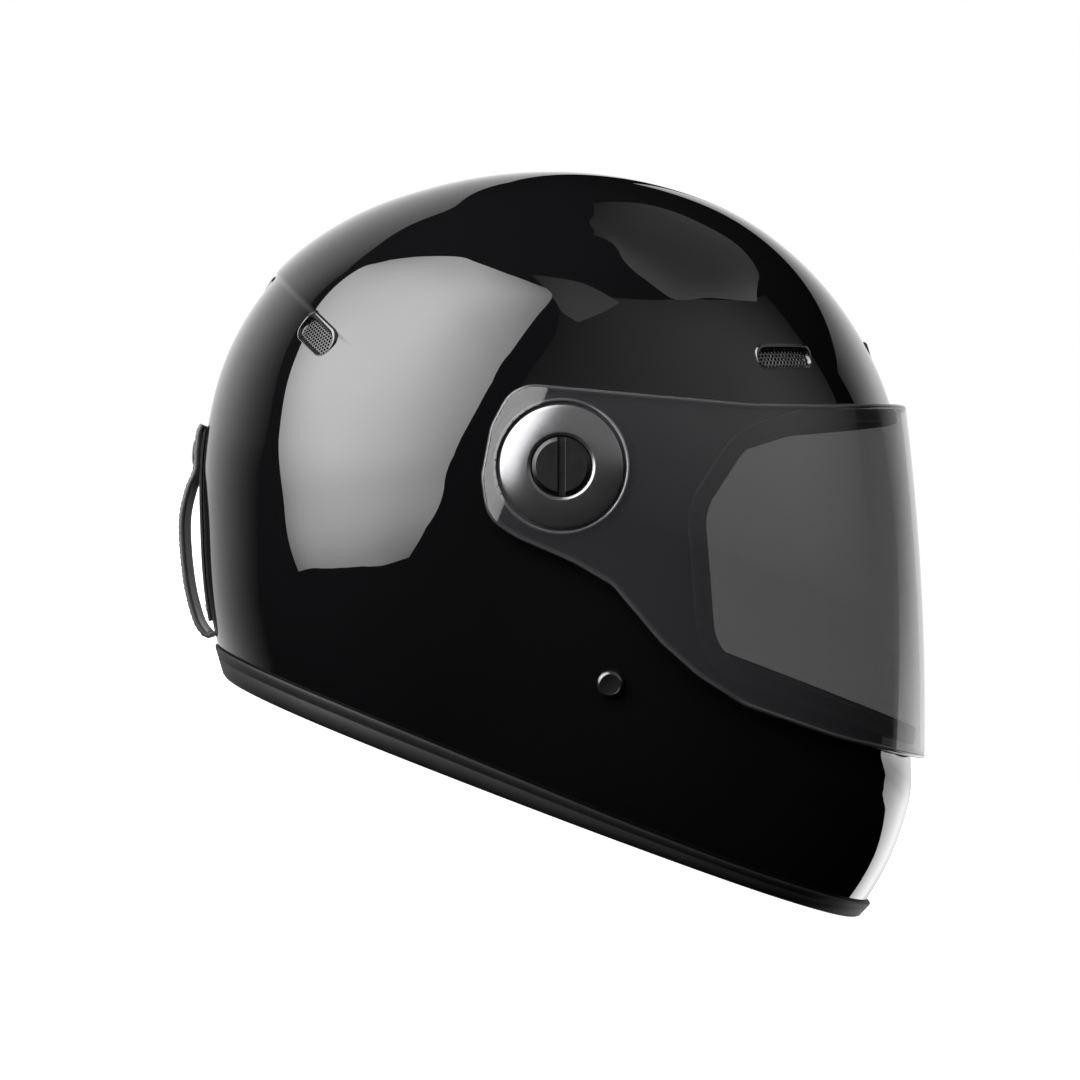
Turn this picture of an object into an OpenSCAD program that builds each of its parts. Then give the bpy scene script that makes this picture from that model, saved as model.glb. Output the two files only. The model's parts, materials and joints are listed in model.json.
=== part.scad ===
/* [Shell] */
// Height of the visor pivots above the rim
pivot_h = 132.8; // [130:0.2:136]
// Half width of the shell at the visor pivots
half_w = 123; // [121:0.5:125]
// Thickness of the moulded shell wall
shell_t = 4; // [3:0.5:5]
// Roundness of the shell across its width, 2 is an ellipse
fullness = 2.3; // [2.2:0.05:2.4]
// How far the cheeks and chin swell out below the visor
swell_h = 4; // [2:0.5:5]
// Height of the rubber trim round the rim
trim_h = 11.5; // [9:0.5:14]

/* [Liner] */
// Thickness of the impact liner behind the shell
liner_t = 32; // [28:1:34]
// Thickness of the padded comfort liner
comfort_t = 8; // [5:1:10]

/* [Visor] */
// Thickness of the visor lens
lens_t = 2.2; // [2:0.1:3]
// Half width over the visor at its pivots
visor_half_w = 127.2; // [127:0.1:128]
// Radius of the round hole in each visor ear
ear_hole_r = 25.9; // [25.5:0.1:27]
// Radius of the silver pivot cover
cover_r = 24.5; // [22:0.5:25]
// Radius of the coin screw's head
screw_r = 11.7; // [10:0.1:11.8]
// Running clearance of hubs and screws
run_gap = 0.05; // [0.03:0.01:0.1]

/* [Vents] */
// Length, width and corner radius of each brow vent
brow_vent = [28, 10, 4];
// Length, width and corner radius of each rear vent
rear_vent = [22, 12.5, 5];
// Width of the rim round each vent's grille
vent_rim = 1.7; // [1.2:0.1:2.2]

/* [Straps] */
// Width of the chin strap webbing
webbing_w = 22; // [18:1:24]
// Thickness of the chin strap webbing
webbing_t = 2.6; // [2:0.2:3]
// Width of the goggle strap at the back
goggle_strap_w = 30; // [24:1:36]
// Thickness of the goggle strap
goggle_strap_t = 2.4; // [2:0.2:3]

/* [Hidden] */

// The pivot axis lies this far behind the middle of the helmet's length
pivot_x = -19.25;
// The helmet is drawn about its visor pivots and then stood on its rim
module stand() translate([pivot_x, 0, pivot_h]) children();
// A right-hand piece is drawn on -Y, and its twin is mirrored to +Y
module left_hand() mirror([0, 1, 0]) children();

$fn = 48;

// Radii of the side profile about the pivots, one every 15 degrees,
// from straight ahead over the brow, crown, back, rim and chin
profile_r = [158, 147.5, 145.2, 141.4, 137.8, 134.3, 130.6, 129, 130, 134, 140.6, 147.2,
    151.2, 152.6, 154.9, 163, 173, 182, 191, 206, 226, 238, 216.5, 187];
knot_step = 360 / len(profile_r);
function knot(i) = profile_r[(i + 2 * len(profile_r)) % len(profile_r)];
function blend(p, f) = (2 * p[1] + (p[2] - p[0]) * f
    + (2 * p[0] - 5 * p[1] + 4 * p[2] - p[3]) * f ^ 2
    + (3 * p[1] - p[0] - 3 * p[2] + p[3]) * f ^ 3) / 2;
function profile(a) = let(s = a / knot_step, i = floor(s))
    blend([for (k = [-1:2]) knot(i + k)], s - i);
function ramp(x) = let(t = min(1, max(0, x))) t * t * (3 - 2 * t);

// Share of the profile radius left at the across angle b, and the matching width
function reach(b) = cos(b) ^ (2 / fullness);
function side(b) = sign(b) * abs(sin(b)) ^ (2 / fullness);
function dome_point(r, w, a, b) = [r * reach(b) * cos(a), w * side(b), r * reach(b) * sin(a)];

// The swell follows the visor's lower edge, which climbs from ear to chin
function swell(a, b) = let(edge = -52 + 35 * reach(b), below = edge - (a > 180 ? a - 360 : a))
    swell_h * ramp(below / 5) * ramp((26 - below) / 14) * ramp((reach(b) - 0.2) / 0.2);
shell_form = function(a, b) profile(a) + swell(a, b);

// A closed dome about the pivot axis: r(a, b) is its radius, w its half width
module dome(r, w, a_count, b_count) {
    da = 360 / a_count;
    db = 180 / b_count;
    rings = [for (j = [1:b_count - 1], i = [0:a_count - 1])
        let(a = i * da, b = j * db - 90) dome_point(r(a, b), w, a, b)];
    right = len(rings);
    last = right - a_count;
    polyhedron(
        points = concat(rings, [[0, -w, 0], [0, w, 0]]),
        faces = concat(
            [for (j = [0:b_count - 3], i = [0:a_count - 1], h = [0, 1])
                let(p = j * a_count + i, q = j * a_count + (i + 1) % a_count)
                h == 0 ? [p, q, q + a_count] : [p, q + a_count, p + a_count]],
            [for (i = [0:a_count - 1]) [right, (i + 1) % a_count, i]],
            [for (i = [0:a_count - 1]) [right + 1, last + i, last + (i + 1) % a_count]]),
        convexity = 4);
}
module form(inset, fine = false) {
    dome(function(a, b) profile(a) - inset, half_w - inset, fine ? 44 : 36, fine ? 22 : 20);
}
module shell_solid() {
    difference() {
        dome(shell_form, half_w, 48, 26);
        form(shell_t, fine = true);
    }
}
// A slab of everything between two heights below or above the pivots
module slab(low, high) translate([-250, -250, low]) cube([500, 500, high - low]);
module extrude_across(w = 400) rotate([90, 0, 0]) linear_extrude(w, center = true) children();

// Side view of the eyeport, open at the front
module eyeport_outline() {
    offset(r = 17) offset(delta = -17)
        polygon([[59, 4], [84, -49], [260, -49], [260, 130], [128, 71.5], [92, 55.5], [66, 35]]);
}
module eyeport(grow) extrude_across() offset(r = grow) eyeport_outline();

// Frame on the shell's surface: x along the given direction, z straight out
function turn_to(a, b, along) = let(
    e = 0.5,
    r = function(u, v) dome_point(profile(u), half_w, u, v),
    p = r(a, b),
    n0 = cross(r(a + e, b) - r(a - e, b), r(a, b + e) - r(a, b - e)),
    n = (n0 * p > 0 ? 1 : -1) * n0 / norm(n0),
    u0 = along - (along * n) * n,
    u = u0 / norm(u0),
    v = cross(n, u))
    [[u.x, v.x, n.x, p.x], [u.y, v.y, n.y, p.y], [u.z, v.z, n.z, p.z], [0, 0, 0, 1]];
module on_shell(a, b, along) multmatrix(turn_to(a, b, along)) children();

// The vents' places: angle about the pivots, angle across, and the way each one runs
module at_brow_side() on_shell(47.1, -46.8, [0.745, 0.58, 0.316]) children();
module at_brow_centre() on_shell(41.6, 0, [0, 1, 0]) children();
module at_rear_side() on_shell(172.1, -43.3, [0.68, -0.66, -0.3]) children();
module at_rear_centre() on_shell(168.8, 0, [0, 1, 0]) children();
vent_depth = 4.1;
module vent_outline(v, inset = 0) {
    offset(r = v[2] - inset) square([v[0] - 2 * v[2], v[1] - 2 * v[2]], center = true);
}
module vent_block(v, low, high, inset, corners) {
    hull() for (x = [-1, 1], y = [-1, 1])
        translate([x * (v[0] / 2 - v[2]), y * (v[1] / 2 - v[2]), low])
            cylinder(r = v[2] - inset, h = high - low, $fn = corners);
}
module vent_frame(v, proud) {
    color([0.06, 0.06, 0.06]) translate([0, 0, -vent_depth]) difference() {
        linear_extrude(vent_depth + proud) vent_outline(v);
        translate([0, 0, -1]) linear_extrude(vent_depth + proud + 2) vent_outline(v, vent_rim);
    }
}
grille_t = 0.8;
grille_sink = 1.6;
grille_grip = 0.3;
module vent_grille(v) {
    color([0.35, 0.35, 0.36]) translate([0, 0, -grille_sink])
        linear_extrude(grille_t) vent_outline(v, vent_rim - grille_grip);
}
brow_proud = 1.4;
rear_proud = 1.0;
module brow_vent_frame_right() stand() at_brow_side() vent_frame(brow_vent, brow_proud);
module brow_vent_frame_left() left_hand() brow_vent_frame_right();
module brow_vent_frame_centre() stand() at_brow_centre() vent_frame(brow_vent, brow_proud);
module brow_vent_grille_right() stand() at_brow_side() vent_grille(brow_vent);
module brow_vent_grille_left() left_hand() brow_vent_grille_right();
module brow_vent_grille_centre() stand() at_brow_centre() vent_grille(brow_vent);
module rear_vent_frame_right() stand() at_rear_side() vent_frame(rear_vent, rear_proud);
module rear_vent_frame_left() left_hand() rear_vent_frame_right();
module rear_vent_frame_centre() stand() at_rear_centre() vent_frame(rear_vent, rear_proud);
module rear_vent_grille_right() stand() at_rear_side() vent_grille(rear_vent);
module rear_vent_grille_left() left_hand() rear_vent_grille_right();
module rear_vent_grille_centre() stand() at_rear_centre() vent_grille(rear_vent);

// Holes through the shell, or air channels through the liner, behind the vents
module vent_holes(low, high, inset, corners = 24) {
    for (m = [0, 1]) mirror([0, m, 0]) {
        at_brow_side() vent_block(brow_vent, low, high, inset, corners);
        at_rear_side() vent_block(rear_vent, low, high, inset, corners);
    }
    at_brow_centre() vent_block(brow_vent, low, high, inset, corners);
    at_rear_centre() vent_block(rear_vent, low, high, inset, corners);
}

// Visor pivot stack: heights are distances from the helmet's middle plane
plate_low = half_w - shell_t - 0.1;
plate_top = half_w + 0.4;
plate_r = 20;
hub_r = 15;
ring_low = plate_top + 0.3;
ring_top = ring_low + 1.5;
ring_r = 29.3;
cover_low = ring_top + 0.3;
cover_lip = cover_low + 1;
cover_top = cover_low + 3.7;
screw_top = cover_top + 0.7;
bore_r = 4;
// A round piece on the right pivot, drawn with z as the distance from the middle
module on_pivot() rotate([90, 0, 0]) children();
module ring(r_in, r_out, low, high) {
    translate([0, 0, low]) difference() {
        cylinder(r = r_out, h = high - low);
        translate([0, 0, -1]) cylinder(r = r_in, h = high - low + 2);
    }
}

// Anchor of the chin strap, level with the jaw, and its shell side rivet
anchor = [47.5, -71.9];
anchor_b = 70.6;
anchor_a = atan2(anchor.y, anchor.x);
rivet_r = 5.3;
dish_r = 6.9;
module at_rivet() on_shell(anchor_a, -anchor_b, [1, 0, 0]) children();

module outer_shell() stand() {
    color([0.01, 0.01, 0.01]) resize([0, 0, 0]) difference() {
        shell_solid();
        slab(-300, -pivot_h + 3);
        eyeport(2.5);
        vent_holes(-12, 12, -0.1);
        for (m = [0, 1]) mirror([0, m, 0]) {
            on_pivot() rotate(2) cylinder(r = plate_r + 0.1, h = 200, $fn = 44);
            translate([anchor.x, 0, anchor.y]) on_pivot() cylinder(r = 3, h = 200);
            at_rivet() translate([0, 0, swell_h * 0.7 - 1.2])
                cylinder(r1 = rivet_r + 0.4, r2 = dish_r + 1.6, h = 5);
        }
    }
}

// Face side of the liner: a head shaped hollow that runs straight down to the neck
module head_hollow(t) {
    form(t);
    hull() for (x = [-42, 34]) translate([x, 0, -200])
        scale([1, 0.96, 1]) cylinder(r = half_w - t, h = 185, $fn = 40);
}
liner_foot = -98;
module impact_liner() stand() color([0.09, 0.09, 0.1]) resize([0, 0, 0]) difference() {
    form(shell_t + 0.3, fine = true);
    head_hollow(shell_t + liner_t);
    slab(-300, liner_foot);
    eyeport(9);
    translate([75, -250, -300]) cube([300, 500, 312]);
    for (m = [0, 1]) mirror([0, m, 0])
        translate([22, -250, -300]) cube([52, 164, 246]);
    vent_holes(-58, 9, 1, 16);
}

module chin_liner() stand() color([0.09, 0.09, 0.1]) resize([0, 0, 0]) intersection() {
    difference() {
        form(shell_t + 0.3, fine = true);
        form(shell_t + 22);
    }
    translate([84, -80, -pivot_h + 14]) cube([200, 160, pivot_h - 14 - 60]);
}

module crown_liner() stand() color([0.16, 0.16, 0.17]) resize([0, 0, 0]) difference() {
    form(shell_t + liner_t + 0.3);
    form(shell_t + liner_t + comfort_t);
    slab(-300, -34);
    eyeport(12);
}

module cheek_pad_right() stand() color([0.13, 0.13, 0.14]) hull()
    for (p = [[-14, 67, -46], [-6, 67, -92], [60, 65, -96], [66, 66, -60], [30, 67, -40]])
        translate([p.x, -p.y, p.z]) scale([1, 0.9, 1]) sphere(r = 13, $fn = 20);
module cheek_pad_left() left_hand() cheek_pad_right();

module neck_roll() stand() color([0.12, 0.12, 0.13]) resize([0, 0, 0]) intersection() {
    difference() {
        form(shell_t + 2);
        form(shell_t + 17);
    }
    translate([-200, -250, -pivot_h + 9]) cube([218, 500, 20]);
}

module rim_trim() stand() color([0.16, 0.16, 0.16]) resize([0, 0, 0]) intersection() {
    slab(-pivot_h, -pivot_h + trim_h);
    difference() {
        form(-1.4, fine = true);
        form(shell_t + 1.4);
        difference() {
            shell_solid();
            slab(-300, -pivot_h + 3);
        }
    }
}

module eyeport_gasket() stand() color([0.05, 0.05, 0.05]) resize([0, 0, 0]) intersection() {
    difference() {
        eyeport(6);
        eyeport(0);
    }
    difference() {
        form(-1.2, fine = true);
        form(shell_t + 1.2);
        difference() {
            shell_solid();
            eyeport(2.5);
        }
    }
}

// Visor side profile: a gentle bow from its top edge to its bottom edge
visor_top = [129.5, 78];
visor_foot = [190.1, -58.7];
bow_r = 1117;
bow_mid = (visor_top + visor_foot) / 2;
bow_run = (visor_foot - visor_top) / norm(visor_foot - visor_top);
bow_sag = bow_r - sqrt(bow_r ^ 2 - (norm(visor_foot - visor_top) / 2) ^ 2);
bow_centre = bow_mid - (bow_r - bow_sag) * [-bow_run.y, bow_run.x];
ear_reach = 400;
function bow(a) = let(u = [cos(a), sin(a)], c = bow_centre * u,
    d = c + sqrt(c ^ 2 - bow_centre * bow_centre + bow_r ^ 2))
    (d ^ -6 + ear_reach ^ -6) ^ (-1 / 6);
module visor_form(inset) {
    dome(function(a, b) bow(a) - inset, visor_half_w - inset, 44, 26);
}
// Side view of the lens: a round ear, a climbing top edge and a dipping lower edge
module lens_outline() {
    offset(r = 14) offset(delta = -14)
        polygon([[-27, 32], [-31, 2], [-27, -32], [18, -33], [36, -36], [62, -50.5], [80, -57.5],
            [102, -62.3], [142, -61.8], [178, -59], [260, -55], [260, 130],
            [129.5, 78], [95, 63.3], [63, 50.3], [26, 37.5], [-6, 31]]);
}
module visor_lens() stand() color([0.3, 0.3, 0.31, 0.4]) resize([0, 0, 0]) difference() {
    intersection() {
        difference() {
            visor_form(0);
            visor_form(lens_t);
        }
        extrude_across() lens_outline();
    }
    for (m = [0, 1]) mirror([0, m, 0]) on_pivot() {
        cylinder(r = ear_hole_r, h = 200, $fn = 60);
        cylinder(r = ring_r, h = ring_top, $fn = 60);
    }
}

module visor_hub_ring_right() stand() on_pivot()
    color([0.1, 0.1, 0.1]) ring(hub_r + run_gap, ring_r, ring_low, ring_top);
module visor_hub_ring_left() left_hand() visor_hub_ring_right();

module pivot_plate_right() stand() on_pivot() color([0.07, 0.07, 0.07]) {
    ring(bore_r, plate_r, plate_low, plate_top);
    ring(bore_r, hub_r, plate_top, cover_low);
}
module pivot_plate_left() left_hand() pivot_plate_right();

module pivot_cover_right() stand() on_pivot() color([0.6, 0.6, 0.61]) rotate_extrude()
    polygon([[9, cover_low], [cover_r, cover_low], [cover_r, cover_low + 1.8],
        [cover_r - 1.4, cover_low + 2.9], [screw_r + 1.4, cover_top], [screw_r + 0.35, cover_top],
        [screw_r + 0.35, cover_lip], [9, cover_lip]]);
module pivot_cover_left() left_hand() pivot_cover_right();

// The slots stand upright when the helmet is tipped forward to its riding pitch
riding_pitch = 20.73;
slot_w = 3;
slot_d = 2;
module coin_screw_right() stand() on_pivot() color([0.1, 0.1, 0.1]) difference() {
    rotate_extrude()
        polygon([[0, plate_low + 0.4], [bore_r - run_gap, plate_low + 0.4],
            [bore_r - run_gap, cover_lip + run_gap], [screw_r, cover_lip + run_gap],
            [screw_r, screw_top - 1.2], [screw_r - 1.5, screw_top], [0, screw_top]]);
    rotate(90 + riding_pitch) translate([0, 0, screw_top - slot_d / 2 + 0.5])
        cube([2 * screw_r + 2, slot_w, slot_d + 1], center = true);
}
module coin_screw_left() left_hand() coin_screw_right();

// Chin strap: rivets through the shell carry steel hangers, which carry the webbing
hanger_top = 107.3;
hanger_t = 2;
module rivet_head() rotate_extrude()
    polygon([[0, -3], [rivet_r, -3], [rivet_r, 0], [rivet_r - 1.15, 1], [0, 1]]);
module strap_rivet_right() stand() color([0.05, 0.05, 0.05]) {
    at_rivet() translate([0, 0, swell_h * 0.7 - 0.6]) rivet_head();
    translate([anchor.x, 0, anchor.y]) on_pivot() {
        translate([0, 0, 104]) cylinder(r = 2.9, h = 12);
        translate([0, 0, 104]) cylinder(r = 4.6, h = 1.2);
    }
}
module strap_rivet_left() left_hand() strap_rivet_right();

// A strip of even thickness along a list of flat points
function strip(p, t) = let(
    last = len(p) - 1,
    n = [for (i = [0:last]) let(d = p[min(i + 1, last)] - p[max(i - 1, 0)]) [-d.y, d.x] / norm(d)])
    concat([for (i = [0:last]) p[i] + n[i] * t / 2],
        [for (i = [last:-1:0]) p[i] - n[i] * t / 2]);
// A smooth run through a few hand picked points
function smooth(p, steps) = let(last = len(p) - 1)
    [for (i = [0:last - 1], s = [0:steps - (i == last - 1 ? 0 : 1)])
        let(q = [p[max(i - 1, 0)], p[i], p[i + 1], p[min(i + 2, last)]]) blend(q, s / steps)];
module across_front(w) rotate([90, 0, 90]) linear_extrude(w, center = true) children();

module strap_hanger_right() stand() color([0.5, 0.5, 0.5]) difference() {
    translate([anchor.x, 0, 0]) across_front(webbing_w - 4) polygon(strip(
        [[-hanger_top, -64], [-hanger_top, -80], [-99.5, -104]], hanger_t));
    translate([anchor.x, 0, anchor.y]) on_pivot()
        translate([0, 0, 90]) cylinder(r = 2.9 + run_gap, h = 30);
}
module strap_hanger_left() left_hand() strap_hanger_right();

strap_run = [[-97.6, -96], [-96.4, -106], [-88, -116.5], [-68, -122], [-34, -125.6], [0, -127]];
strap_back = [for (k = [len(strap_run) - 2:-1:0]) [-strap_run[k].x, strap_run[k].y]];
module chin_strap() stand() color([0.08, 0.08, 0.08]) translate([anchor.x, 0, 0])
    across_front(webbing_w) polygon(strip(smooth(concat(strap_run, strap_back), 4), webbing_t));

// Two steel loops round the webbing, side by side
module d_rings() stand() color([0.6, 0.6, 0.6]) for (k = [0, 1])
    translate([anchor.x, -42 - 6 * k, -124.95 + 0.53 * k]) rotate([90, 0, 0])
        linear_extrude(3, center = true) difference() {
            offset(r = 3.2) square([webbing_w + 0.4, 2.2], center = true);
            offset(r = 0.6) square([webbing_w + 0.4, 2.2], center = true);
        }

// Goggle strap: a loop down the back, snapped at the top and folded in at the foot
function behind(a, off) = (profile(a) + off) * [cos(a), sin(a)];
strap_foot = behind(225.8, 2.2);
goggle_run = [behind(194.5, 2.9), behind(197.5, 2.9), behind(200.5, 3), behind(203.5, 6.3),
    behind(208.5, 9.2), behind(216.5, 8.8), behind(222.3, 7), behind(224.9, 4.6), strap_foot];
module goggle_strap() stand() color([0.1, 0.1, 0.1]) extrude_across(goggle_strap_w)
    polygon(strip(smooth(goggle_run, 4), goggle_strap_t));
module goggle_strap_base() stand() color([0.07, 0.07, 0.07]) extrude_across(goggle_strap_w - 2)
    polygon(concat([for (a = [194:3:224]) behind(a, 0.15)],
        [for (a = [224:-3:194]) behind(a, 1.3)]));
snap_a = 197.6;
module at_snap() translate([behind(snap_a, 0).x, 0, behind(snap_a, 0).y])
    rotate([0, -snap_a + 90, 0]) children();
module snap_stud() stand() color([0.5, 0.5, 0.5]) at_snap()
    translate([0, 0, -shell_t - 0.2]) cylinder(r = 3, h = shell_t + 1.6);
module snap_cap() stand() color([0.05, 0.05, 0.05]) at_snap() translate([0, 0, 4.1]) rotate_extrude()
    polygon([[0, 0], [6.2, 0], [6.2, 0.8], [5, 1.6], [0, 1.9]]);
module goggle_strap_rivet() stand() color([0.3, 0.3, 0.3]) {
    for (y = [-8, 8]) translate([behind(222, 0).x, y, behind(222, 0).y])
        rotate([0, -222 + 90, 0]) translate([0, 0, -shell_t]) cylinder(r = 2, h = shell_t + 2);
}

outer_shell();
impact_liner();
chin_liner();
crown_liner();
cheek_pad_right();
cheek_pad_left();
neck_roll();
rim_trim();
eyeport_gasket();
brow_vent_frame_right();
brow_vent_frame_left();
brow_vent_frame_centre();
brow_vent_grille_right();
brow_vent_grille_left();
brow_vent_grille_centre();
rear_vent_frame_right();
rear_vent_frame_left();
rear_vent_frame_centre();
rear_vent_grille_right();
rear_vent_grille_left();
rear_vent_grille_centre();
pivot_plate_right();
pivot_plate_left();
pivot_cover_right();
pivot_cover_left();
coin_screw_right();
coin_screw_left();
visor_lens();
visor_hub_ring_right();
visor_hub_ring_left();
strap_rivet_right();
strap_rivet_left();
strap_hanger_right();
strap_hanger_left();
chin_strap();
d_rings();
goggle_strap_base();
goggle_strap_rivet();
goggle_strap();
snap_stud();
snap_cap();
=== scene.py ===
import json
import math
import bmesh
import bpy
import numpy as np
from mathutils import Matrix, Vector
from mathutils.bvhtree import BVHTree


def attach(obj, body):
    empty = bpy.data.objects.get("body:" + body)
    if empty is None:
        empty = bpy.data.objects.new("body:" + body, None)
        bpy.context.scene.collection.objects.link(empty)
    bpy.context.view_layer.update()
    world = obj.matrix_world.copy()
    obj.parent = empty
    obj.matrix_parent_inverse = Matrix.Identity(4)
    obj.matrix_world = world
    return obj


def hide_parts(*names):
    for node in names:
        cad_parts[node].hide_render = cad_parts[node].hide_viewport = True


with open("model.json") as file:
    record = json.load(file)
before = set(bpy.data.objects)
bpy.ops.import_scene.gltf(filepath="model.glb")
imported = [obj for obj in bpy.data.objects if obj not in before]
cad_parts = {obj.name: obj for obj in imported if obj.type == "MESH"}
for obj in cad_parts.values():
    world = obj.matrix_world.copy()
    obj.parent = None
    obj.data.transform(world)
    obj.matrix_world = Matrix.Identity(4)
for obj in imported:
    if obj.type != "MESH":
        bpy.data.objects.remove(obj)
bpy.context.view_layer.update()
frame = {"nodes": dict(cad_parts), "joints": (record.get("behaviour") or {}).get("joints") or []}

# ---- Camera ----
# A long lens level with the middle of the helmet's right side, rolled so that
# the helmet is seen tipped forward to its riding pitch.
MM = 0.001
PITCH = math.radians(20.73)
joints = {joint["name"]: joint for joint in frame["joints"]}
pivot = Vector(joints["visor_pivot"]["pos_m"])
pivot.y = 0


def new_object(name, data):
    piece = bpy.data.objects.new(name, data)
    bpy.context.scene.collection.objects.link(piece)
    return piece


camera_data = bpy.data.cameras.new("studio_camera")
camera_data.sensor_width = 36
camera_data.lens = 111.7
camera = new_object("studio_camera", camera_data)
right = Vector((math.cos(PITCH), 0, math.sin(PITCH)))
upward = Vector((-math.sin(PITCH), 0, math.cos(PITCH)))
camera_spot = pivot + Vector((2.4, -1450, -30.2)) * MM
camera.matrix_world = Matrix.Translation(camera_spot) @ Matrix(
    (right, upward, Vector((0, -1, 0)))).transposed().to_4x4()
bpy.context.scene.camera = camera
bpy.context.scene.view_settings.view_transform = "Standard"

# ---- Studio ----
# A white paper sweep, lit so evenly that it keeps no shadow, and dark walls
# with a white wall behind, which the gloss paint reflects.
studio = bpy.data.worlds.new("studio")
bpy.context.scene.world = studio
studio.use_nodes = True
wires = studio.node_tree
wires.nodes.clear()
world_out = wires.nodes.new("ShaderNodeOutputWorld")
paper = wires.nodes.new("ShaderNodeBackground")
paper.inputs["Color"].default_value = (1, 1, 1, 1)
walls = wires.nodes.new("ShaderNodeBackground")
walls.inputs["Color"].default_value = (0.5, 0.5, 0.52, 1)
walls.inputs["Strength"].default_value = 0.004
seen = wires.nodes.new("ShaderNodeLightPath")
pick = wires.nodes.new("ShaderNodeMixShader")
wires.links.new(seen.outputs["Is Camera Ray"], pick.inputs["Fac"])
wires.links.new(walls.outputs[0], pick.inputs[1])
wires.links.new(paper.outputs[0], pick.inputs[2])
wires.links.new(pick.outputs[0], world_out.inputs[0])

bpy.ops.mesh.primitive_plane_add(size=8)
floor = bpy.context.object
floor.name = "paper_floor"
floor.location.z = -0.0004
floor_paint = bpy.data.materials.new("white_paper")
floor_paint.use_nodes = True
floor_shader = floor_paint.node_tree.nodes["Principled BSDF"]
floor_shader.inputs["Base Color"].default_value = (0.9, 0.9, 0.9, 1)
floor_shader.inputs["Emission Color"].default_value = (1, 1, 1, 1)
floor_shader.inputs["Emission Strength"].default_value = 1.0
floor.data.materials.append(floor_paint)
floor.visible_glossy = False
floor.visible_diffuse = False


def blend_knots(p0, p1, p2, p3, f):
    return (2 * p1 + (p2 - p0) * f + (2 * p0 - 5 * p1 + 4 * p2 - p3) * f ** 2
            + (3 * p1 - p0 - 3 * p2 + p3) * f ** 3) / 2


def refine(knots, steps):
    """A list of control points with smooth points added between them."""
    last = len(knots) - 1
    out = [blend_knots(knots[max(i - 1, 0)], knots[i], knots[i + 1], knots[min(i + 2, last)],
                       k / steps) for i in range(last) for k in range(steps)]
    return np.array(out + [knots[-1]])


def card(name, rows, distance=5.0):
    """A glowing card. Each row holds points of azimuth, elevation and glow, as the
    helmet's middle sees them, with the camera at azimuth 0 and its right at 90."""
    grid = refine(np.array(rows, float), 7)
    grid = refine(grid.transpose(1, 0, 2), 7)
    high, wide = grid.shape[:2]
    az, el, glow = np.radians(grid[..., 0]), np.radians(grid[..., 1]), grid[..., 2]
    way = (np.multiply.outer(np.sin(az) * np.cos(el), np.array(right))
           + np.multiply.outer(-np.cos(az) * np.cos(el), np.array((0, 1, 0)))
           + np.multiply.outer(np.sin(el), np.array(upward)))
    spots = (way * distance + np.array(pivot)).reshape(-1, 3)
    faces = [(i * wide + k, i * wide + k + 1, (i + 1) * wide + k + 1, (i + 1) * wide + k)
             for i in range(high - 1) for k in range(wide - 1)]
    mesh = bpy.data.meshes.new(name)
    mesh.from_pydata(spots.tolist(), [], faces)
    layer = mesh.attributes.new("glow", "FLOAT", "POINT")
    layer.data.foreach_set("value", np.maximum(glow, 0).ravel())
    mesh.materials.append(card_paint)
    piece = new_object(name, mesh)
    piece.visible_camera = False
    piece.visible_shadow = False
    return piece


card_paint = bpy.data.materials.new("glowing_card")
card_paint.use_nodes = True
card_paint.node_tree.nodes.clear()
card_out = card_paint.node_tree.nodes.new("ShaderNodeOutputMaterial")
card_light = card_paint.node_tree.nodes.new("ShaderNodeEmission")
card_glow = card_paint.node_tree.nodes.new("ShaderNodeAttribute")
card_glow.attribute_name = "glow"
card_paint.node_tree.links.new(card_glow.outputs["Fac"], card_light.inputs["Strength"])
card_paint.node_tree.links.new(card_light.outputs[0], card_out.inputs["Surface"])

card("key_softbox", [
    [(-104, 59, 3.6), (-90, 68, 4.6), (-69, 72, 5.8), (-39, 70, 6), (-17, 65, 4.5), (-3, 59, 2.6)],
    [(-107, 55, 5), (-87, 57, 7.4), (-65, 58, 9.5), (-38, 58, 10.3), (-18, 57, 7.5), (-1, 55, 3)],
    [(-100, 44, 5.6), (-82, 44, 8.8), (-62, 44, 10.8), (-38, 44, 11.6), (-20, 45, 8), (-5, 46, 3.9)],
    [(-91, 30, 6.2), (-76, 30, 10.3), (-60, 30, 11.9), (-38, 30, 11.5), (-24, 31, 8.8), (-10, 31, 5)],
    [(-87, 18, 6), (-73, 17, 10.3), (-58, 17, 11.8), (-40, 17, 11), (-27, 17, 8.6), (-14, 17, 5.3)],
    [(-83, 5, 5.2), (-70, 5, 9), (-57, 5, 10.9), (-42, 5, 9.9), (-30, 5, 7.9), (-19, 5, 5)],
    [(-79, -2, 3.6), (-68, -2, 6.8), (-56, -2, 7.9), (-44, -2, 7.6), (-34, -2, 6.2), (-24, -3, 4.6)],
    [(-73, -9, 2.2), (-66, -9, 4), (-56, -10, 4.5), (-46, -10, 4.5), (-39, -10, 3.7), (-31, -9, 2.6)]])
card("white_wall_back_left", [
    [(-176, 36, 0.8), (-160, 54, 0.7), (-143, 57, 0.8), (-125, 56, 0.6), (-112, 52, 0.3)],
    [(-180, 26, 0.8), (-160, 38, 1), (-143, 40, 0.95), (-125, 40, 0.85), (-105, 40, 0.25)],
    [(-185, 12, 1.05), (-162, 14, 1.15), (-143, 14, 1.1), (-122, 14, 0.9), (-93, 14, 0.1)],
    [(-186, 0, 1), (-162, 0, 0.8), (-143, 0, 0.85), (-122, 0, 0.6), (-96, 0, 0.02)],
    [(-186, -22, 1), (-162, -22, 0.9), (-143, -22, 0.8), (-122, -22, 0.4), (-100, -22, 0)]], 5.2)
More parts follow.
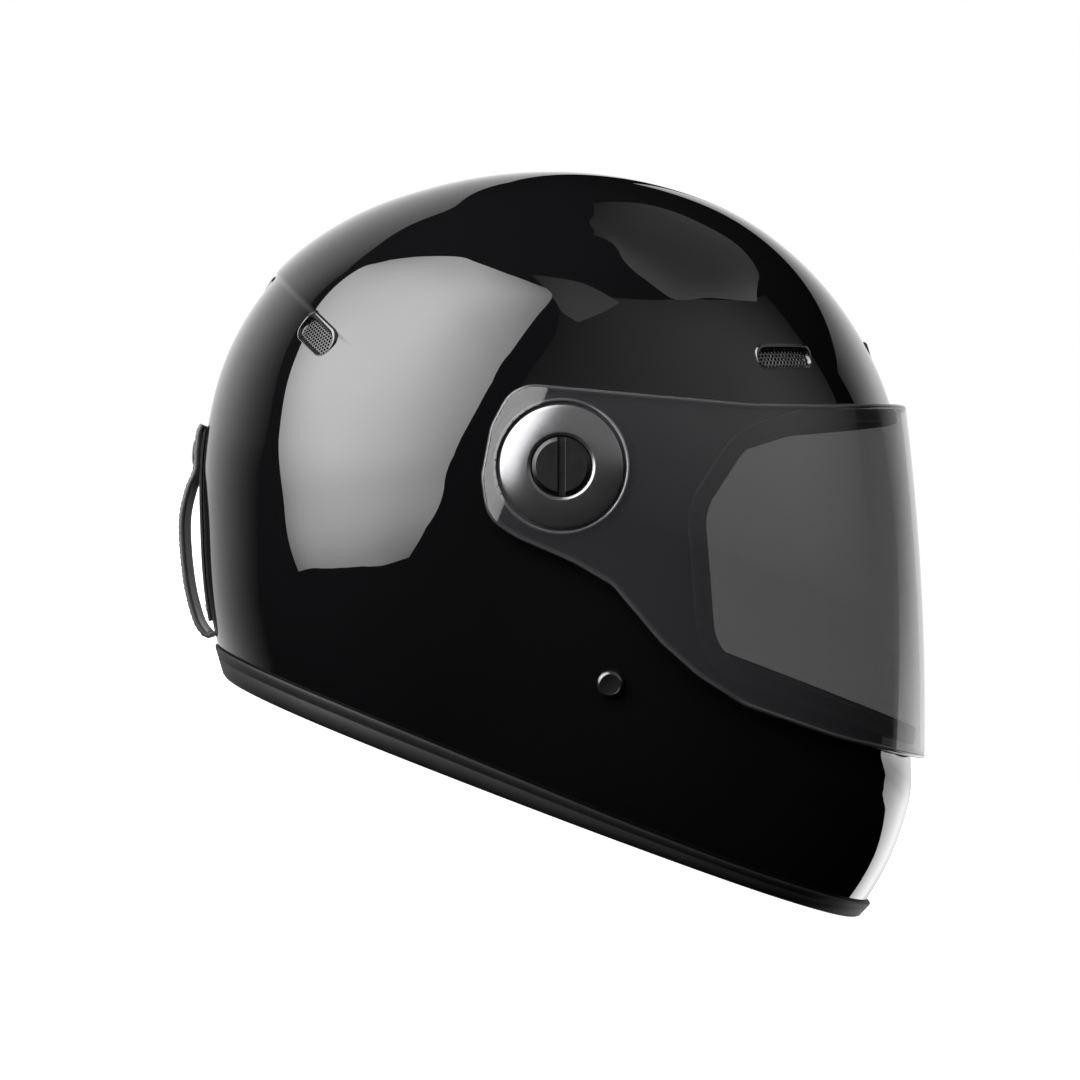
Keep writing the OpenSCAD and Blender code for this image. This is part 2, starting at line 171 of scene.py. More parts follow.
card("white_wall_back_right", [
    [(112, 24, 0.2), (127, 27, 0.5), (142, 28, 0.5), (160, 27, 0.6), (174, 26, 0.7)],
    [(116, 12, 0.3), (130, 14, 0.9), (145, 13, 1.3), (160, 12, 1.1), (174, 12, 1)],
    [(124, 2, 0.2), (136, 2, 0.7), (147, 2, 0.9), (160, 0, 0.9), (174, 0, 0.8)],
    [(115, -9, 2.2), (132, -9, 2.5), (148, -9, 2.4), (162, -9, 1.3), (174, -9, 0.8)],
    [(117, -16, 2.6), (134, -16, 3), (150, -16, 2.8), (162, -16, 1.2), (174, -16, 0.7)],
    [(132, -25, 2.8), (142, -25, 3.2), (152, -25, 2.8), (162, -25, 1.2), (174, -25, 0.7)],
    [(134, -42, 2), (142, -42, 2.4), (152, -42, 2), (162, -42, 1), (174, -42, 0.6)]], 5.4)
card("soft_wall_front", [
    [(2, 56, 0.08), (22, 55, 0.3), (45, 54, 0.36), (70, 51, 0.36), (105, 45, 0.05)],
    [(0, 40, 0.1), (20, 40, 0.4), (45, 40, 0.58), (68, 38, 0.58), (100, 36, 0.1)],
    [(-6, 22, 0.1), (18, 22, 0.42), (42, 22, 0.62), (66, 22, 0.75), (100, 22, 0.15)],
    [(-8, 9, 0.1), (16, 9, 0.4), (40, 9, 0.6), (66, 9, 0.72), (100, 9, 0.15)],
    [(-6, 0, 0), (16, 0, 0.05), (40, 0, 0.1), (66, 0, 0.1), (100, 0, 0.02)]], 5.6)
card("tall_window", [
    [(168, 62, 0.06), (160, 51, 0.2), (148, 49, 0.28), (137, 46, 0.28), (119, 46, 0.3)],
    [(160, 71, 0.12), (139, 69, 0.26), (120, 61, 0.32), (112, 54, 0.36), (110, 47, 0.5)],
    [(146, 79, 0.2), (88, 77, 0.36), (68, 64, 0.45), (85, 55, 0.5), (101, 47, 0.85)],
    [(103, 83, 0.2), (50, 73, 0.8), (45, 55, 0.95), (68, 52, 0.85), (94, 46, 1.05)]], 5.0)
card("small_window", [
    [(-10, 66, 0.2), (3, 64, 0.5), (13, 61, 0.6), (22, 53, 0.75)],
    [(-6, 62, 0.3), (2, 57, 0.6), (8, 53, 0.75), (15, 49, 0.8)],
    [(-3, 58, 0.3), (0, 53, 0.6), (2, 48, 0.7), (6, 44, 0.9)]], 5.1)

# ---- Outer shell ----
# A moulded composite shell in mirror gloss black lacquer. Its profile radii about
# the visor pivots repeat those of the CAD model, so the two share one surface.
PROFILE = [158, 147.5, 145.2, 141.4, 137.8, 134.3, 130.6, 129, 130, 134, 140.6, 147.2,
           151.2, 152.6, 154.9, 163, 173, 182, 191, 206, 226, 238, 216.5, 187]
FULLNESS = 2.3
HALF_WIDTH = 123.0
SHELL_T = 4.0
SWELL = 4.0
RIM_Z = -pivot.z / MM
PLATE_R = 20.0


def profile(a):
    knots = np.array(PROFILE)
    count = len(knots)
    s = np.asarray(a, float) % 360 * count / 360
    i = np.floor(s).astype(int)
    return blend_knots(*[knots[(i + k) % count] for k in (-1, 0, 1, 2)], s - i)


def ramp(x):
    t = np.clip(x, 0, 1)
    return t * t * (3 - 2 * t)


def reach(b):
    return np.cos(np.radians(b)) ** (2 / FULLNESS)


def width(b):
    return np.sign(b) * np.abs(np.sin(np.radians(b))) ** (2 / FULLNESS)


def swell(a, b):
    below = -52 + 35 * reach(b) - (np.asarray(a) + 180) % 360 + 180
    return SWELL * ramp(below / 5) * ramp((26 - below) / 14) * ramp((reach(b) - 0.2) / 0.2)


def rear_lip(a, b):
    """The upper shell stands a little proud above the line of the rear vents."""
    line = 166.0 + 3.2 * (np.abs(b) / 43) ** 2
    above = line - np.asarray(a) % 360
    return 1.5 * ramp((above + 0.6) / 1.6) * ramp((34 - above) / 34) * ramp((60 - np.abs(b)) / 12)


def shell_radius(a, b):
    return profile(a) + swell(a, b) + rear_lip(a, b)


def plain_radius(inset):
    return lambda a, b: profile(a) - inset


def new_piece(name, verts, faces, smooth=True):
    """A mesh object from points in millimetres about the pivots."""
    mesh = bpy.data.meshes.new(name)
    points = np.asarray(verts, float) * MM + np.array(pivot)
    mesh.from_pydata(points.tolist(), [], [list(face) for face in faces])
    mesh.polygons.foreach_set("use_smooth", [smooth] * len(mesh.polygons))
    mesh.update()
    return new_object(name, mesh)


def outward(piece):
    """Turns every face of a closed piece to point out."""
    work = bmesh.new()
    work.from_mesh(piece.data)
    bmesh.ops.remove_doubles(work, verts=work.verts, dist=1e-7)
    bmesh.ops.recalc_face_normals(work, faces=work.faces)
    work.to_mesh(piece.data)
    work.free()
    return piece


def dome(name, radius, half_width, a_list, b_count):
    """A closed dome about the pivot axis."""
    b_list = np.linspace(-90, 90, b_count + 1)[1:-1]
    a, b = np.meshgrid(a_list, b_list)
    r = radius(a, b) * reach(b)
    points = np.stack([r * np.cos(np.radians(a)), half_width * width(b),
                       r * np.sin(np.radians(a))], -1).reshape(-1, 3)
    n = len(a_list)
    verts = points.tolist() + [[0, -half_width, 0], [0, half_width, 0]]
    faces = [(j * n + i, j * n + (i + 1) % n, (j + 1) * n + (i + 1) % n, (j + 1) * n + i)
             for j in range(len(b_list) - 1) for i in range(n)]
    last = (len(b_list) - 1) * n
    faces += [(len(points), (i + 1) % n, i) for i in range(n)]
    faces += [(len(points) + 1, last + i, last + (i + 1) % n) for i in range(n)]
    return outward(new_piece(name, verts, faces))


def fillet(corners, radius, steps=8):
    """A closed outline with its corners rounded off."""
    points = [np.array(c, float) for c in corners]
    out = []
    for k, here in enumerate(points):
        before, after = points[k - 1], points[(k + 1) % len(points)]
        u, v = before - here, after - here
        lu, lv = np.linalg.norm(u), np.linalg.norm(v)
        u, v = u / lu, v / lv
        half = math.acos(max(-1, min(1, float(u @ v)))) / 2
        reach_in = min(radius / math.tan(half), 0.48 * lu, 0.48 * lv)
        r = reach_in * math.tan(half)
        middle = here + (u + v) / np.linalg.norm(u + v) * r / math.sin(half)
        start, end = here + u * reach_in - middle, here + v * reach_in - middle
        turn = math.atan2(start[0] * end[1] - start[1] * end[0], float(start @ end))
        for s in range(steps + 1):
            t = turn * s / steps
            c, d = math.cos(t), math.sin(t)
            out.append(middle + np.array([c * start[0] - d * start[1], d * start[0] + c * start[1]]))
    return np.array(out)


def circle(radius, count=64):
    turns = np.linspace(0, 2 * math.pi, count + 1)[:-1]
    return np.stack([radius * np.cos(turns), radius * np.sin(turns)], 1)


def grown(outline, amount):
    """A closed outline moved outwards by an amount."""
    after, before = np.roll(outline, -1, 0), np.roll(outline, 1, 0)
    run = after - before
    run /= np.linalg.norm(run, axis=1)[:, None]
    area = np.sum(outline[:, 0] * after[:, 1] - after[:, 0] * outline[:, 1])
    return outline + np.stack([run[:, 1], -run[:, 0]], 1) * amount * np.sign(area)


def prism(name, outline, low, high, place=None):
    """An outline in x and z carried from y = low to y = high, or set on a placed frame."""
    n = len(outline)
    verts = [(x, low, z) for x, z in outline] + [(x, high, z) for x, z in outline]
    if place is not None:
        verts = [place @ Vector((x, z, y)) for x, y, z in verts]
    faces = [tuple(range(n)), tuple(range(2 * n - 1, n - 1, -1))]
    faces += [(i, (i + 1) % n, n + (i + 1) % n, n + i) for i in range(n)]
    return outward(new_piece(name, verts, faces, smooth=False))


def swept(name, rings, closed):
    """A skin over a row of section rings, capped at its ends when it isn't a loop."""
    n, sides = rings.shape[:2]
    faces = [(i * sides + k, i * sides + (k + 1) % sides,
              (i + 1) % n * sides + (k + 1) % sides, (i + 1) % n * sides + k)
             for i in range(n if closed else n - 1) for k in range(sides)]
    if not closed:
        faces += [tuple(range(sides)), tuple(range(n * sides - 1, (n - 1) * sides - 1, -1))]
    return outward(new_piece(name, rings.reshape(-1, 3), faces))


def lathe(name, outline, place, sides=72):
    """A turned piece from (radius, height) points, on the z axis of a placed frame."""
    turns = np.linspace(0, 2 * math.pi, sides + 1)[:-1]
    rings = [[place @ Vector((r * math.cos(t), r * math.sin(t), h)) for r, h in outline]
             for t in turns]
    return swept(name, np.array(rings), True)


def bake(piece):
    """Fixes a piece's modifiers into its mesh."""
    bpy.context.view_layer.update()
    evaluated = piece.evaluated_get(bpy.context.evaluated_depsgraph_get())
    done = bpy.data.meshes.new_from_object(evaluated)
    piece.modifiers.clear()
    piece.data = done
    return piece


def carve(piece, cutters, operation="DIFFERENCE"):
    """Cuts or clips a piece with other solids, which are used up."""
    for cutter in cutters:
        modifier = piece.modifiers.new("carve", "BOOLEAN")
        modifier.operation = operation
        modifier.solver = "MANIFOLD"
        modifier.object = cutter
    bake(piece)
    for cutter in cutters:
        bpy.data.objects.remove(cutter)
    return piece


def surface_gap(points, radius, half_width):
    """How far points are outside a dome, as its own formula counts it."""
    x, y, z = points.T
    a = np.degrees(np.arctan2(z, x))
    share = np.clip(np.abs(y) / half_width, 0, 1)
    b = np.degrees(np.arcsin(share ** (FULLNESS / 2)))
    return (np.hypot(x, z) / radius(a, b)) ** FULLNESS + (np.abs(y) / half_width) ** FULLNESS - 1


def surface_normal(points, radius, half_width):
    step = 0.2
    slopes = [surface_gap(points + step * axis, radius, half_width)
              - surface_gap(points - step * axis, radius, half_width) for axis in np.eye(3)]
    slopes = np.stack(slopes, 1)
    return slopes / np.linalg.norm(slopes, axis=1)[:, None]


def corners(mesh, key="co"):
    """The places or the normals of a mesh's vertices, a row each."""
    values = np.empty(len(mesh.vertices) * 3)
    mesh.vertices.foreach_get(key, values)
    return values.reshape(-1, 3)


def true_gloss(piece, surfaces, crown=0.0):
    """Sets the shading normals of faces on the given surfaces to the exact ones. A
    crown leans them back behind the pivots, as on a puffed ear."""
    mesh = piece.data
    mesh.polygons.foreach_set("use_smooth", [True] * len(mesh.polygons))
    mesh.set_sharp_from_angle(angle=math.radians(35))
    points = (corners(mesh) - np.array(pivot)) / MM
    corner = np.empty(len(mesh.loops), int)
    mesh.loops.foreach_get("vertex_index", corner)
    facing = np.empty(len(mesh.polygons) * 3)
    mesh.polygons.foreach_get("normal", facing)
    facing = facing.reshape(-1, 3)
    totals = np.empty(len(mesh.polygons), int)
    mesh.polygons.foreach_get("loop_total", totals)
    owner = np.repeat(np.arange(len(totals)), totals)
    chosen = np.zeros((len(corner), 3))
    for radius, half_width, sign in surfaces:
        near = np.abs(surface_gap(points, radius, half_width)) < 0.012
        normal = surface_normal(points, radius, half_width) * sign
        normal[:, 0] -= crown * ramp((-4 - points[:, 0]) / 18) * (sign > 0)
        normal /= np.linalg.norm(normal, axis=1)[:, None]
        fits = near[corner] & (np.sum(facing[owner] * normal[corner], 1) > 0.9)
        whole = np.bincount(owner, weights=~fits, minlength=len(totals)) == 0
        use = whole[owner]
        chosen[use] = normal[corner][use]
    mesh.normals_split_custom_set(chosen.tolist())
    return piece


def on_surface(a, b, along, radius=profile, sink=0.0):
    """A frame on the shell: x along the given way, z straight out."""
    spot = lambda u, v: np.array([radius(u) * reach(v) * math.cos(math.radians(u)),
                                  HALF_WIDTH * width(v),
                                  radius(u) * reach(v) * math.sin(math.radians(u))], float)
    e = 0.5
    here = spot(a, b)
    out = np.cross(spot(a + e, b) - spot(a - e, b), spot(a, b + e) - spot(a, b - e))
    out = out / np.linalg.norm(out) * np.sign(out @ here)
    u = np.array(along, float)
    u = u - (u @ out) * out
    u = u / np.linalg.norm(u)
    v = np.cross(out, u)
    here = here - out * sink
    return Matrix(((u[0], v[0], out[0], here[0]), (u[1], v[1], out[1], here[1]),
                   (u[2], v[2], out[2], here[2]), (0, 0, 0, 1)))


def mirrored(place):
    """The same frame on the helmet's left side, its x reversed to stay right handed."""
    return Matrix.Diagonal((1, -1, 1, 1)) @ place @ Matrix.Diagonal((-1, 1, 1, 1))


EYEPORT = fillet([(59, 4), (84, -49), (260, -49), (260, 130), (128, 71.5), (92, 55.5), (66, 35)], 20)
BROW_VENT = (28, 10, 4)
REAR_VENT = (22, 12.5, 5)
brow_side = on_surface(47.1, -46.8, (0.745, 0.58, 0.316))
brow_centre = on_surface(41.6, 0, (0, 1, 0))
rear_side = on_surface(172.1, -43.3, (0.68, -0.66, -0.3))
rear_centre = on_surface(168.8, 0, (0, -1, 0))
VENTS = {"brow_vent": (BROW_VENT, {"right": brow_side, "left": mirrored(brow_side),
                                   "centre": brow_centre}),
         "rear_vent": (REAR_VENT, {"right": rear_side, "left": mirrored(rear_side),
                                   "centre": rear_centre})}


def vent_outline(size, inset=0.0):
    length, height, corner = size
    x, y = length / 2 - inset, height / 2 - inset
    return fillet([(-x, -y), (x, -y), (x, y), (-x, y)], corner - inset, 10)


fine_angles = np.union1d(np.arange(0, 360, 1.5), np.arange(162.3, 172.2, 0.3))
shell = dome("outer_shell_skin", shell_radius, HALF_WIDTH, fine_angles, 132)
hollow = dome("hollow", plain_radius(SHELL_T), HALF_WIDTH - SHELL_T, np.arange(0, 360, 3), 72)
block = [(-250, -250), (250, -250), (250, RIM_Z + 3), (-250, RIM_Z + 3)]
cutters = [hollow, prism("below", block, -250, 250),
           prism("eyeport", grown(EYEPORT, 2.5), -250, 250)]
cutters.append(prism("pivot_seat", circle(PLATE_R + 0.1), -250, 250))
for size, places in VENTS.values():
    for place in places.values():
        cutters.append(prism("vent_hole", vent_outline(size, -0.1), -12, 12, place))
DISH = [(0, 1.6), (5.5, 1.6), (6.3, 1.9), (6.75, 2.6), (6.95, 3.4), (7.1, 12), (0, 12)]
rivet_side = on_surface(math.degrees(math.atan2(-71.9, 47.5)), -70.6, (1, 0, 0))
RIVETS = {"right": rivet_side, "left": mirrored(rivet_side)}
for place in RIVETS.values():
    cutters.append(lathe("rivet_dish", DISH, place, 48))
carve(shell, cutters)
true_gloss(shell, [(shell_radius, HALF_WIDTH, 1)])


class Wire:
    """A shader socket that works like a number in an expression."""

    def __init__(self, finish, socket):
        self.finish = finish
        self.socket = socket

    def maths(self, operation, *values):
        return self.finish.add("Math", {"operation": operation}, *values)

    def __add__(self, other):
        return self.maths("ADD", self, other)

    def __radd__(self, other):
        return self.maths("ADD", other, self)

    def __mul__(self, other):
        return self.maths("MULTIPLY", self, other)


class Finish:
    """A material built up a node at a time round one Principled shader."""

    def __init__(self, name, **constants):
        self.material = bpy.data.materials.new(name)
        self.material.use_nodes = True
        self.tree = self.material.node_tree
        self.shader = self.tree.nodes["Principled BSDF"]
        for key, value in constants.items():
            self.shader.inputs[key.replace("_", " ")].default_value = value
        spots = self.tree.nodes.new("ShaderNodeTexCoord")
        self.place = Wire(self, spots.outputs["Object"])
        self.weft = Wire(self, spots.outputs["UV"])

    def add(self, kind, settings, *values, out=0, **named):
        node = self.tree.nodes.new("ShaderNode" + kind)
        for key, value in settings.items():
            setattr(node, key, value)
        for slot_key, value in list(enumerate(values)) + list(named.items()):
            key = slot_key if isinstance(slot_key, int) else slot_key.replace("_", " ")
            if isinstance(value, Wire):
                self.tree.links.new(value.socket, node.inputs[key])
            elif value is not None:
                node.inputs[key].default_value = value
        return Wire(self, node.outputs[out])

    def noise(self, scale, detail=3.0, roughness=0.5):
        return self.add("TexNoise", {}, self.place, Scale=scale, Detail=detail,
                        Roughness=roughness)

    def split(self, vector):
        node = self.tree.nodes.new("ShaderNodeSeparateXYZ")
        self.tree.links.new(vector.socket, node.inputs[0])
        return [Wire(self, out) for out in node.outputs]

    def tones(self, mask, dark, light):
        """Base colour between two colours, by a mask."""
        node = self.tree.nodes.new("ShaderNodeMix")
        node.data_type = "RGBA"
        self.tree.links.new(mask.socket, node.inputs[0])
        node.inputs[6].default_value = (*dark, 1)
        node.inputs[7].default_value = (*light, 1)
        self.tree.links.new(node.outputs[2], self.shader.inputs["Base Color"])
        return self

    def feed(self, socket, wire):
        self.tree.links.new(wire.socket, self.shader.inputs[socket])
        return self

    def bump(self, height, distance, strength=1.0):
        relief = self.add("Bump", {}, Height=height, Distance=distance, Strength=strength)
        return self.feed("Normal", relief)


def paint(piece, finish, body="helmet", replaced=()):
    """Gives a piece its finish and the body it rides on."""
    piece.data.materials.clear()
    piece.data.materials.append(finish.material)
    if replaced:
        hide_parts(*replaced)
    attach(piece, body)
    return piece


lacquer = Finish("gloss_black_lacquer", Roughness=0.3, Coat_Weight=1.0, Coat_Roughness=0.012)
lacquer.shader.inputs["Specular IOR Level"].default_value = 0.0
lacquer.tones(lacquer.noise(9.0), (0.0022, 0.0022, 0.0025), (0.0034, 0.0034, 0.0038))
lacquer.bump(lacquer.noise(650.0, 1.0), 0.000004, 0.25)
paint(shell, lacquer, replaced=("outer_shell",))

# ---- Visor ----
# A single curved smoked polycarbonate lens. Every line from its top edge to its
# bottom edge is nearly straight, and each ear ends in a round hole.
LENS_T = 2.2
LENS_HALF_WIDTH = 127.2
LENS_TOP = np.array([129.5, 78.0])
LENS_FOOT = np.array([190.1, -58.7])
BOW_R = 1117.0
EAR_HOLE_R = 25.9
EAR_CROWN = 0.22
bow_run = (LENS_FOOT - LENS_TOP) / np.linalg.norm(LENS_FOOT - LENS_TOP)
bow_sag = BOW_R - math.sqrt(BOW_R ** 2 - np.linalg.norm(LENS_FOOT - LENS_TOP) ** 2 / 4)
bow_centre = (LENS_TOP + LENS_FOOT) / 2 - (BOW_R - bow_sag) * np.array([-bow_run[1], bow_run[0]])


def lens_radius(inset=0.0):
    def radius(a, b):
        ray = bow_centre[0] * np.cos(np.radians(a)) + bow_centre[1] * np.sin(np.radians(a))
        far = ray + np.sqrt(ray ** 2 - bow_centre @ bow_centre + BOW_R ** 2)
        return (far ** -6.0 + 400.0 ** -6) ** (-1 / 6) - inset
    return radius


LENS_EDGE = fillet([(-28.5, 23.6), (-30.8, 5), (-27.2, -15), (-19.5, -29), (-6, -31.8), (18, -33),
                    (36, -36), (62, -50.5),
                    (80, -57.5), (102, -62.3), (142, -61.8), (178, -59), (260, -55), (260, 130),
                    (129.5, 78), (95, 62.3), (63, 49.8), (26, 38.9), (-6, 29.9)], 14)


lens = dome("visor_shield", lens_radius(), LENS_HALF_WIDTH, np.arange(0, 360, 1.5), 140)
carve(lens, [prism("edge", LENS_EDGE, -250, 250)], "INTERSECT")
inner = dome("inner", lens_radius(LENS_T), LENS_HALF_WIDTH - LENS_T, np.arange(0, 360, 1.5), 140)
carve(lens, [inner, prism("ears", circle(EAR_HOLE_R, 96), -250, 250)])
true_gloss(lens, [(lens_radius(), LENS_HALF_WIDTH, 1),
                  (lens_radius(LENS_T), LENS_HALF_WIDTH - LENS_T, -1)], crown=EAR_CROWN)
smoke = Finish("smoked_polycarbonate", Roughness=0.05, Alpha=0.51)
smoke.shader.inputs["Specular IOR Level"].default_value = 0.8
smoke.tones(smoke.noise(6.0), (0.024, 0.024, 0.026), (0.032, 0.032, 0.035))
paint(lens, smoke, "visor", ("visor_lens",))


def tube(name, path, radius, closed=True, sides=8, lean=None):
    """A round bead along a path, its rings turned to follow the path; lean sets which way is up."""
    path = np.asarray(path, float)
    n = len(path)
    after = np.roll(path, -1, 0) if closed else np.vstack([path[1:], path[-1:]])
    before = np.roll(path, 1, 0) if closed else np.vstack([path[:1], path[:-1]])
    run = after - before
    run /= np.linalg.norm(run, axis=1)[:, None]
    up = -path / np.linalg.norm(path, axis=1)[:, None] if lean is None else np.array(lean, float)
    side = np.cross(run, up)
    side /= np.linalg.norm(side, axis=1)[:, None]
    lift = np.cross(side, run)
    turns = np.linspace(0, 2 * math.pi, sides + 1)[:-1]
    rings = [path + radius * (math.cos(t) * side + math.sin(t) * lift) for t in turns]
    return swept(name, np.stack(rings, 1), closed)


def evenly(path, gap, closed=True):
    """A path's points spaced evenly."""
    path = np.asarray(path, float)
    if closed:
        path = np.vstack([path, path[:1]])
    lengths = np.concatenate([[0], np.cumsum(np.linalg.norm(np.diff(path, axis=0), axis=1))])
    count = max(8, int(lengths[-1] / gap))
    spots = np.linspace(0, lengths[-1], count + 1)
    out = np.stack([np.interp(spots, lengths, path[:, k]) for k in range(path.shape[1])], 1)
    return out[:-1] if closed else out


def lift_outline(outline, radius, half_width):
    """Both sides of a side view outline laid on a dome, joined across the front."""
    dense = evenly(outline, 0.8)
    a = np.degrees(np.arctan2(dense[:, 1], dense[:, 0]))
    share = np.hypot(dense[:, 0], dense[:, 1]) / radius(a, 0)
    start = int(np.argmax(share > 1))
    order = np.roll(np.arange(len(dense)), -start)
    near = [(dense[k, 0], -half_width * (1 - share[k] ** FULLNESS) ** (1 / FULLNESS), dense[k, 1])
            for k in order if share[k] < 0.99999]
    near = np.array(near)
    return evenly(np.vstack([near, near[::-1] * (1, -1, 1)]), 1.6)


bead_path = lift_outline(LENS_EDGE, lens_radius(LENS_T / 2), LENS_HALF_WIDTH - LENS_T / 2)
bead = tube("visor_rolled_edge", bead_path, LENS_T / 2 + 0.05)
edge_smoke = Finish("polished_lens_edge", Roughness=0.12, Alpha=0.9)
edge_smoke.tones(edge_smoke.noise(40.0), (0.035, 0.035, 0.037), (0.06, 0.06, 0.063))
paint(bead, edge_smoke, "visor")


def bevelled(piece, width_mm, angle=35, segments=3):
    """Rounds a piece's hard edges and fixes the result into its mesh."""
    modifier = piece.modifiers.new("soft_edges", "BEVEL")
    modifier.width = width_mm * MM
    modifier.segments = segments
    modifier.limit_method = "ANGLE"
    modifier.angle_limit = math.radians(angle)
    modifier.harden_normals = True
    return bake(piece)


# ---- Pivot covers ----
# Turned aluminium washers with a bead blasted face and bevelled rims, one on each
# side, held down by the coin screw and framed by the lens's polished ear lip, whose
# light grey colour is a painted highlight.
LEVEL = {"plate_top": 123.4, "ring_low": 123.7, "ring_top": 125.2, "cover_low": 125.5,
         "cover_lip": 126.5, "cover_top": 129.2, "screw_top": 129.9}
COVER_R = 24.5
SCREW_R = 11.7
satin = Finish("blasted_aluminium", Metallic=0.85, Roughness=0.3)
blotch = satin.noise(38.0, 4.0, 0.6)
satin.tones(blotch, (0.10, 0.10, 0.104), (0.2, 0.2, 0.205))
satin.feed("Roughness", 0.16 + blotch * 0.14)
satin.bump(satin.noise(1500.0, 2.0), 0.00002, 0.4)
dark_ring = Finish("black_nylon", Roughness=0.5)
dark_ring.tones(dark_ring.noise(300.0), (0.006, 0.006, 0.006), (0.012, 0.012, 0.012))
# The ear lip's light grey base colour is a painted highlight on the dark smoked lens; its low roughness is
# its real polish.
painted_highlight_lip = Finish("polished_ear_lip_painted_highlight", Roughness=0.12, Metallic=0.0, Alpha=0.95)
painted_highlight_lip.tones(painted_highlight_lip.noise(60.0), (0.10, 0.10, 0.105), (0.2, 0.2, 0.21))
blackened = Finish("blackened_steel", Metallic=1.0, Roughness=0.38)
blackened.tones(blackened.noise(120.0), (0.022, 0.022, 0.022), (0.05, 0.05, 0.05))
blackened.bump(blackened.noise(1200.0), 0.00001, 0.3)
PIVOT_SIDE = {"right": Matrix.Rotation(math.radians(90), 4, "X"),
              "left": Matrix.Rotation(math.radians(-90), 4, "X")}
for side, place in PIVOT_SIDE.items():
    cover = lathe("pivot_washer_" + side, [
        (9, LEVEL["cover_low"]), (COVER_R, LEVEL["cover_low"]),
        (COVER_R, LEVEL["cover_low"] + 1.8), (COVER_R - 1.6, LEVEL["cover_low"] + 2.7),
        (SCREW_R + 1.6, LEVEL["cover_top"] + 0.1), (SCREW_R + 0.35, LEVEL["cover_top"] - 0.7),
        (SCREW_R + 0.35, LEVEL["cover_lip"]), (9, LEVEL["cover_lip"])], place, 120)
    bevelled(cover, 0.35)
    paint(cover, satin, replaced=("pivot_cover_" + side,))

    lip = lathe("ear_hole_lip_" + side, [
        (EAR_HOLE_R - 0.1, 124.4), (EAR_HOLE_R + 0.9, 124.6), (EAR_HOLE_R + 1.1, 126.5),
        (EAR_HOLE_R + 0.5, 126.9), (EAR_HOLE_R - 0.1, 126.6)], place, 120)
    paint(lip, painted_highlight_lip, "visor")

    hub = lathe("hub_ring_" + side, [
        (15.06, LEVEL["ring_low"]), (29.2, LEVEL["ring_low"]), (29.2, LEVEL["ring_top"] - 0.9),
        (EAR_HOLE_R, LEVEL["ring_top"]), (15.06, LEVEL["ring_top"])], place)
    paint(hub, dark_ring, "visor", ("visor_hub_ring_" + side,))

    plate = lathe("pivot_base_" + side, [
        (4, 119.0), (PLATE_R, 119.0), (PLATE_R, LEVEL["plate_top"]), (15, LEVEL["plate_top"]),
        (15, LEVEL["cover_low"]), (4, LEVEL["cover_low"])], place)
    paint(plate, dark_ring, replaced=("pivot_plate_" + side,))

    screw = lathe("coin_screw_head_" + side, [
        (0, 119.4), (3.95, 119.4), (3.95, 126.55), (SCREW_R, 126.55),
        (SCREW_R, LEVEL["screw_top"] - 1.2), (SCREW_R - 1.5, LEVEL["screw_top"]),
        (0, LEVEL["screw_top"])], place)
    bar = fillet([(-1.5, -13), (1.5, -13), (1.5, 13), (-1.5, 13)], 0.3, 2)
    bar = bar @ np.array([[math.cos(PITCH), math.sin(PITCH)], [-math.sin(PITCH), math.cos(PITCH)]])
    ends = sorted(h * (-1 if side == "right" else 1) for h in (127.9, 131))
    carve(screw, [prism("slot", bar, *ends)])
    screw.data.set_sharp_from_angle(angle=math.radians(25))
    bevelled(screw, 0.18, segments=2)
    paint(screw, blackened, "screw_" + side, ("coin_screw_" + side,))

# ---- Eyeport gasket ----
# A black rubber edging that grips the shell all round the face opening.
rubber = Finish("matt_black_rubber", Roughness=0.62)
rubber.tones(rubber.noise(220.0), (0.006, 0.006, 0.006), (0.014, 0.014, 0.014))
rubber.bump(rubber.noise(900.0, 2.0), 0.00003, 0.5)
edging = dome("eyeport_edging", plain_radius(-1.2), HALF_WIDTH + 1.2, np.arange(0, 360, 2), 100)
carve(edging, [prism("outer", grown(EYEPORT, 6), -250, 250)], "INTERSECT")
core = dome("core", plain_radius(SHELL_T + 1.2), HALF_WIDTH - SHELL_T - 1.2,
            np.arange(0, 360, 2), 100)
carve(edging, [core, prism("opening", EYEPORT, -250, 250)])
true_gloss(edging, [(plain_radius(-1.2), HALF_WIDTH + 1.2, 1)])
paint(edging, rubber, replaced=("eyeport_gasket",))
for name, grow, lift in (("outer", 6, 0.7), ("inner", 0, 0.7), ("lining", 0, -4.7)):
    path = lift_outline(grown(EYEPORT, grow), plain_radius(-lift), HALF_WIDTH + lift)
    paint(tube("eyeport_bead_" + name, path, 0.65), rubber)

# ---- Rim trim ----
# A dark rubber channel pressed over the shell's lower edge, with rounded corners
# and a fine groove along its outer face. Its top edge is lower round the front.


def level_ring(z, offset, turns):
    """Where a level plane cuts the shell, moved outwards by an offset."""
    low, high = np.full(len(turns), 20.0), np.full(len(turns), 320.0)
    for _ in range(34):
        mid = (low + high) / 2
        points = np.stack([10 + mid * np.cos(turns), mid * np.sin(turns), np.full(len(turns), z)], 1)
        outside = surface_gap(points, shell_radius, HALF_WIDTH) > 0
        high, low = np.where(outside, mid, high), np.where(outside, low, mid)
    run = np.roll(points, -1, 0) - np.roll(points, 1, 0)
    normal = np.stack([run[:, 1], -run[:, 0], run[:, 2] * 0], 1)
    return points + normal / np.linalg.norm(normal, axis=1)[:, None] * offset


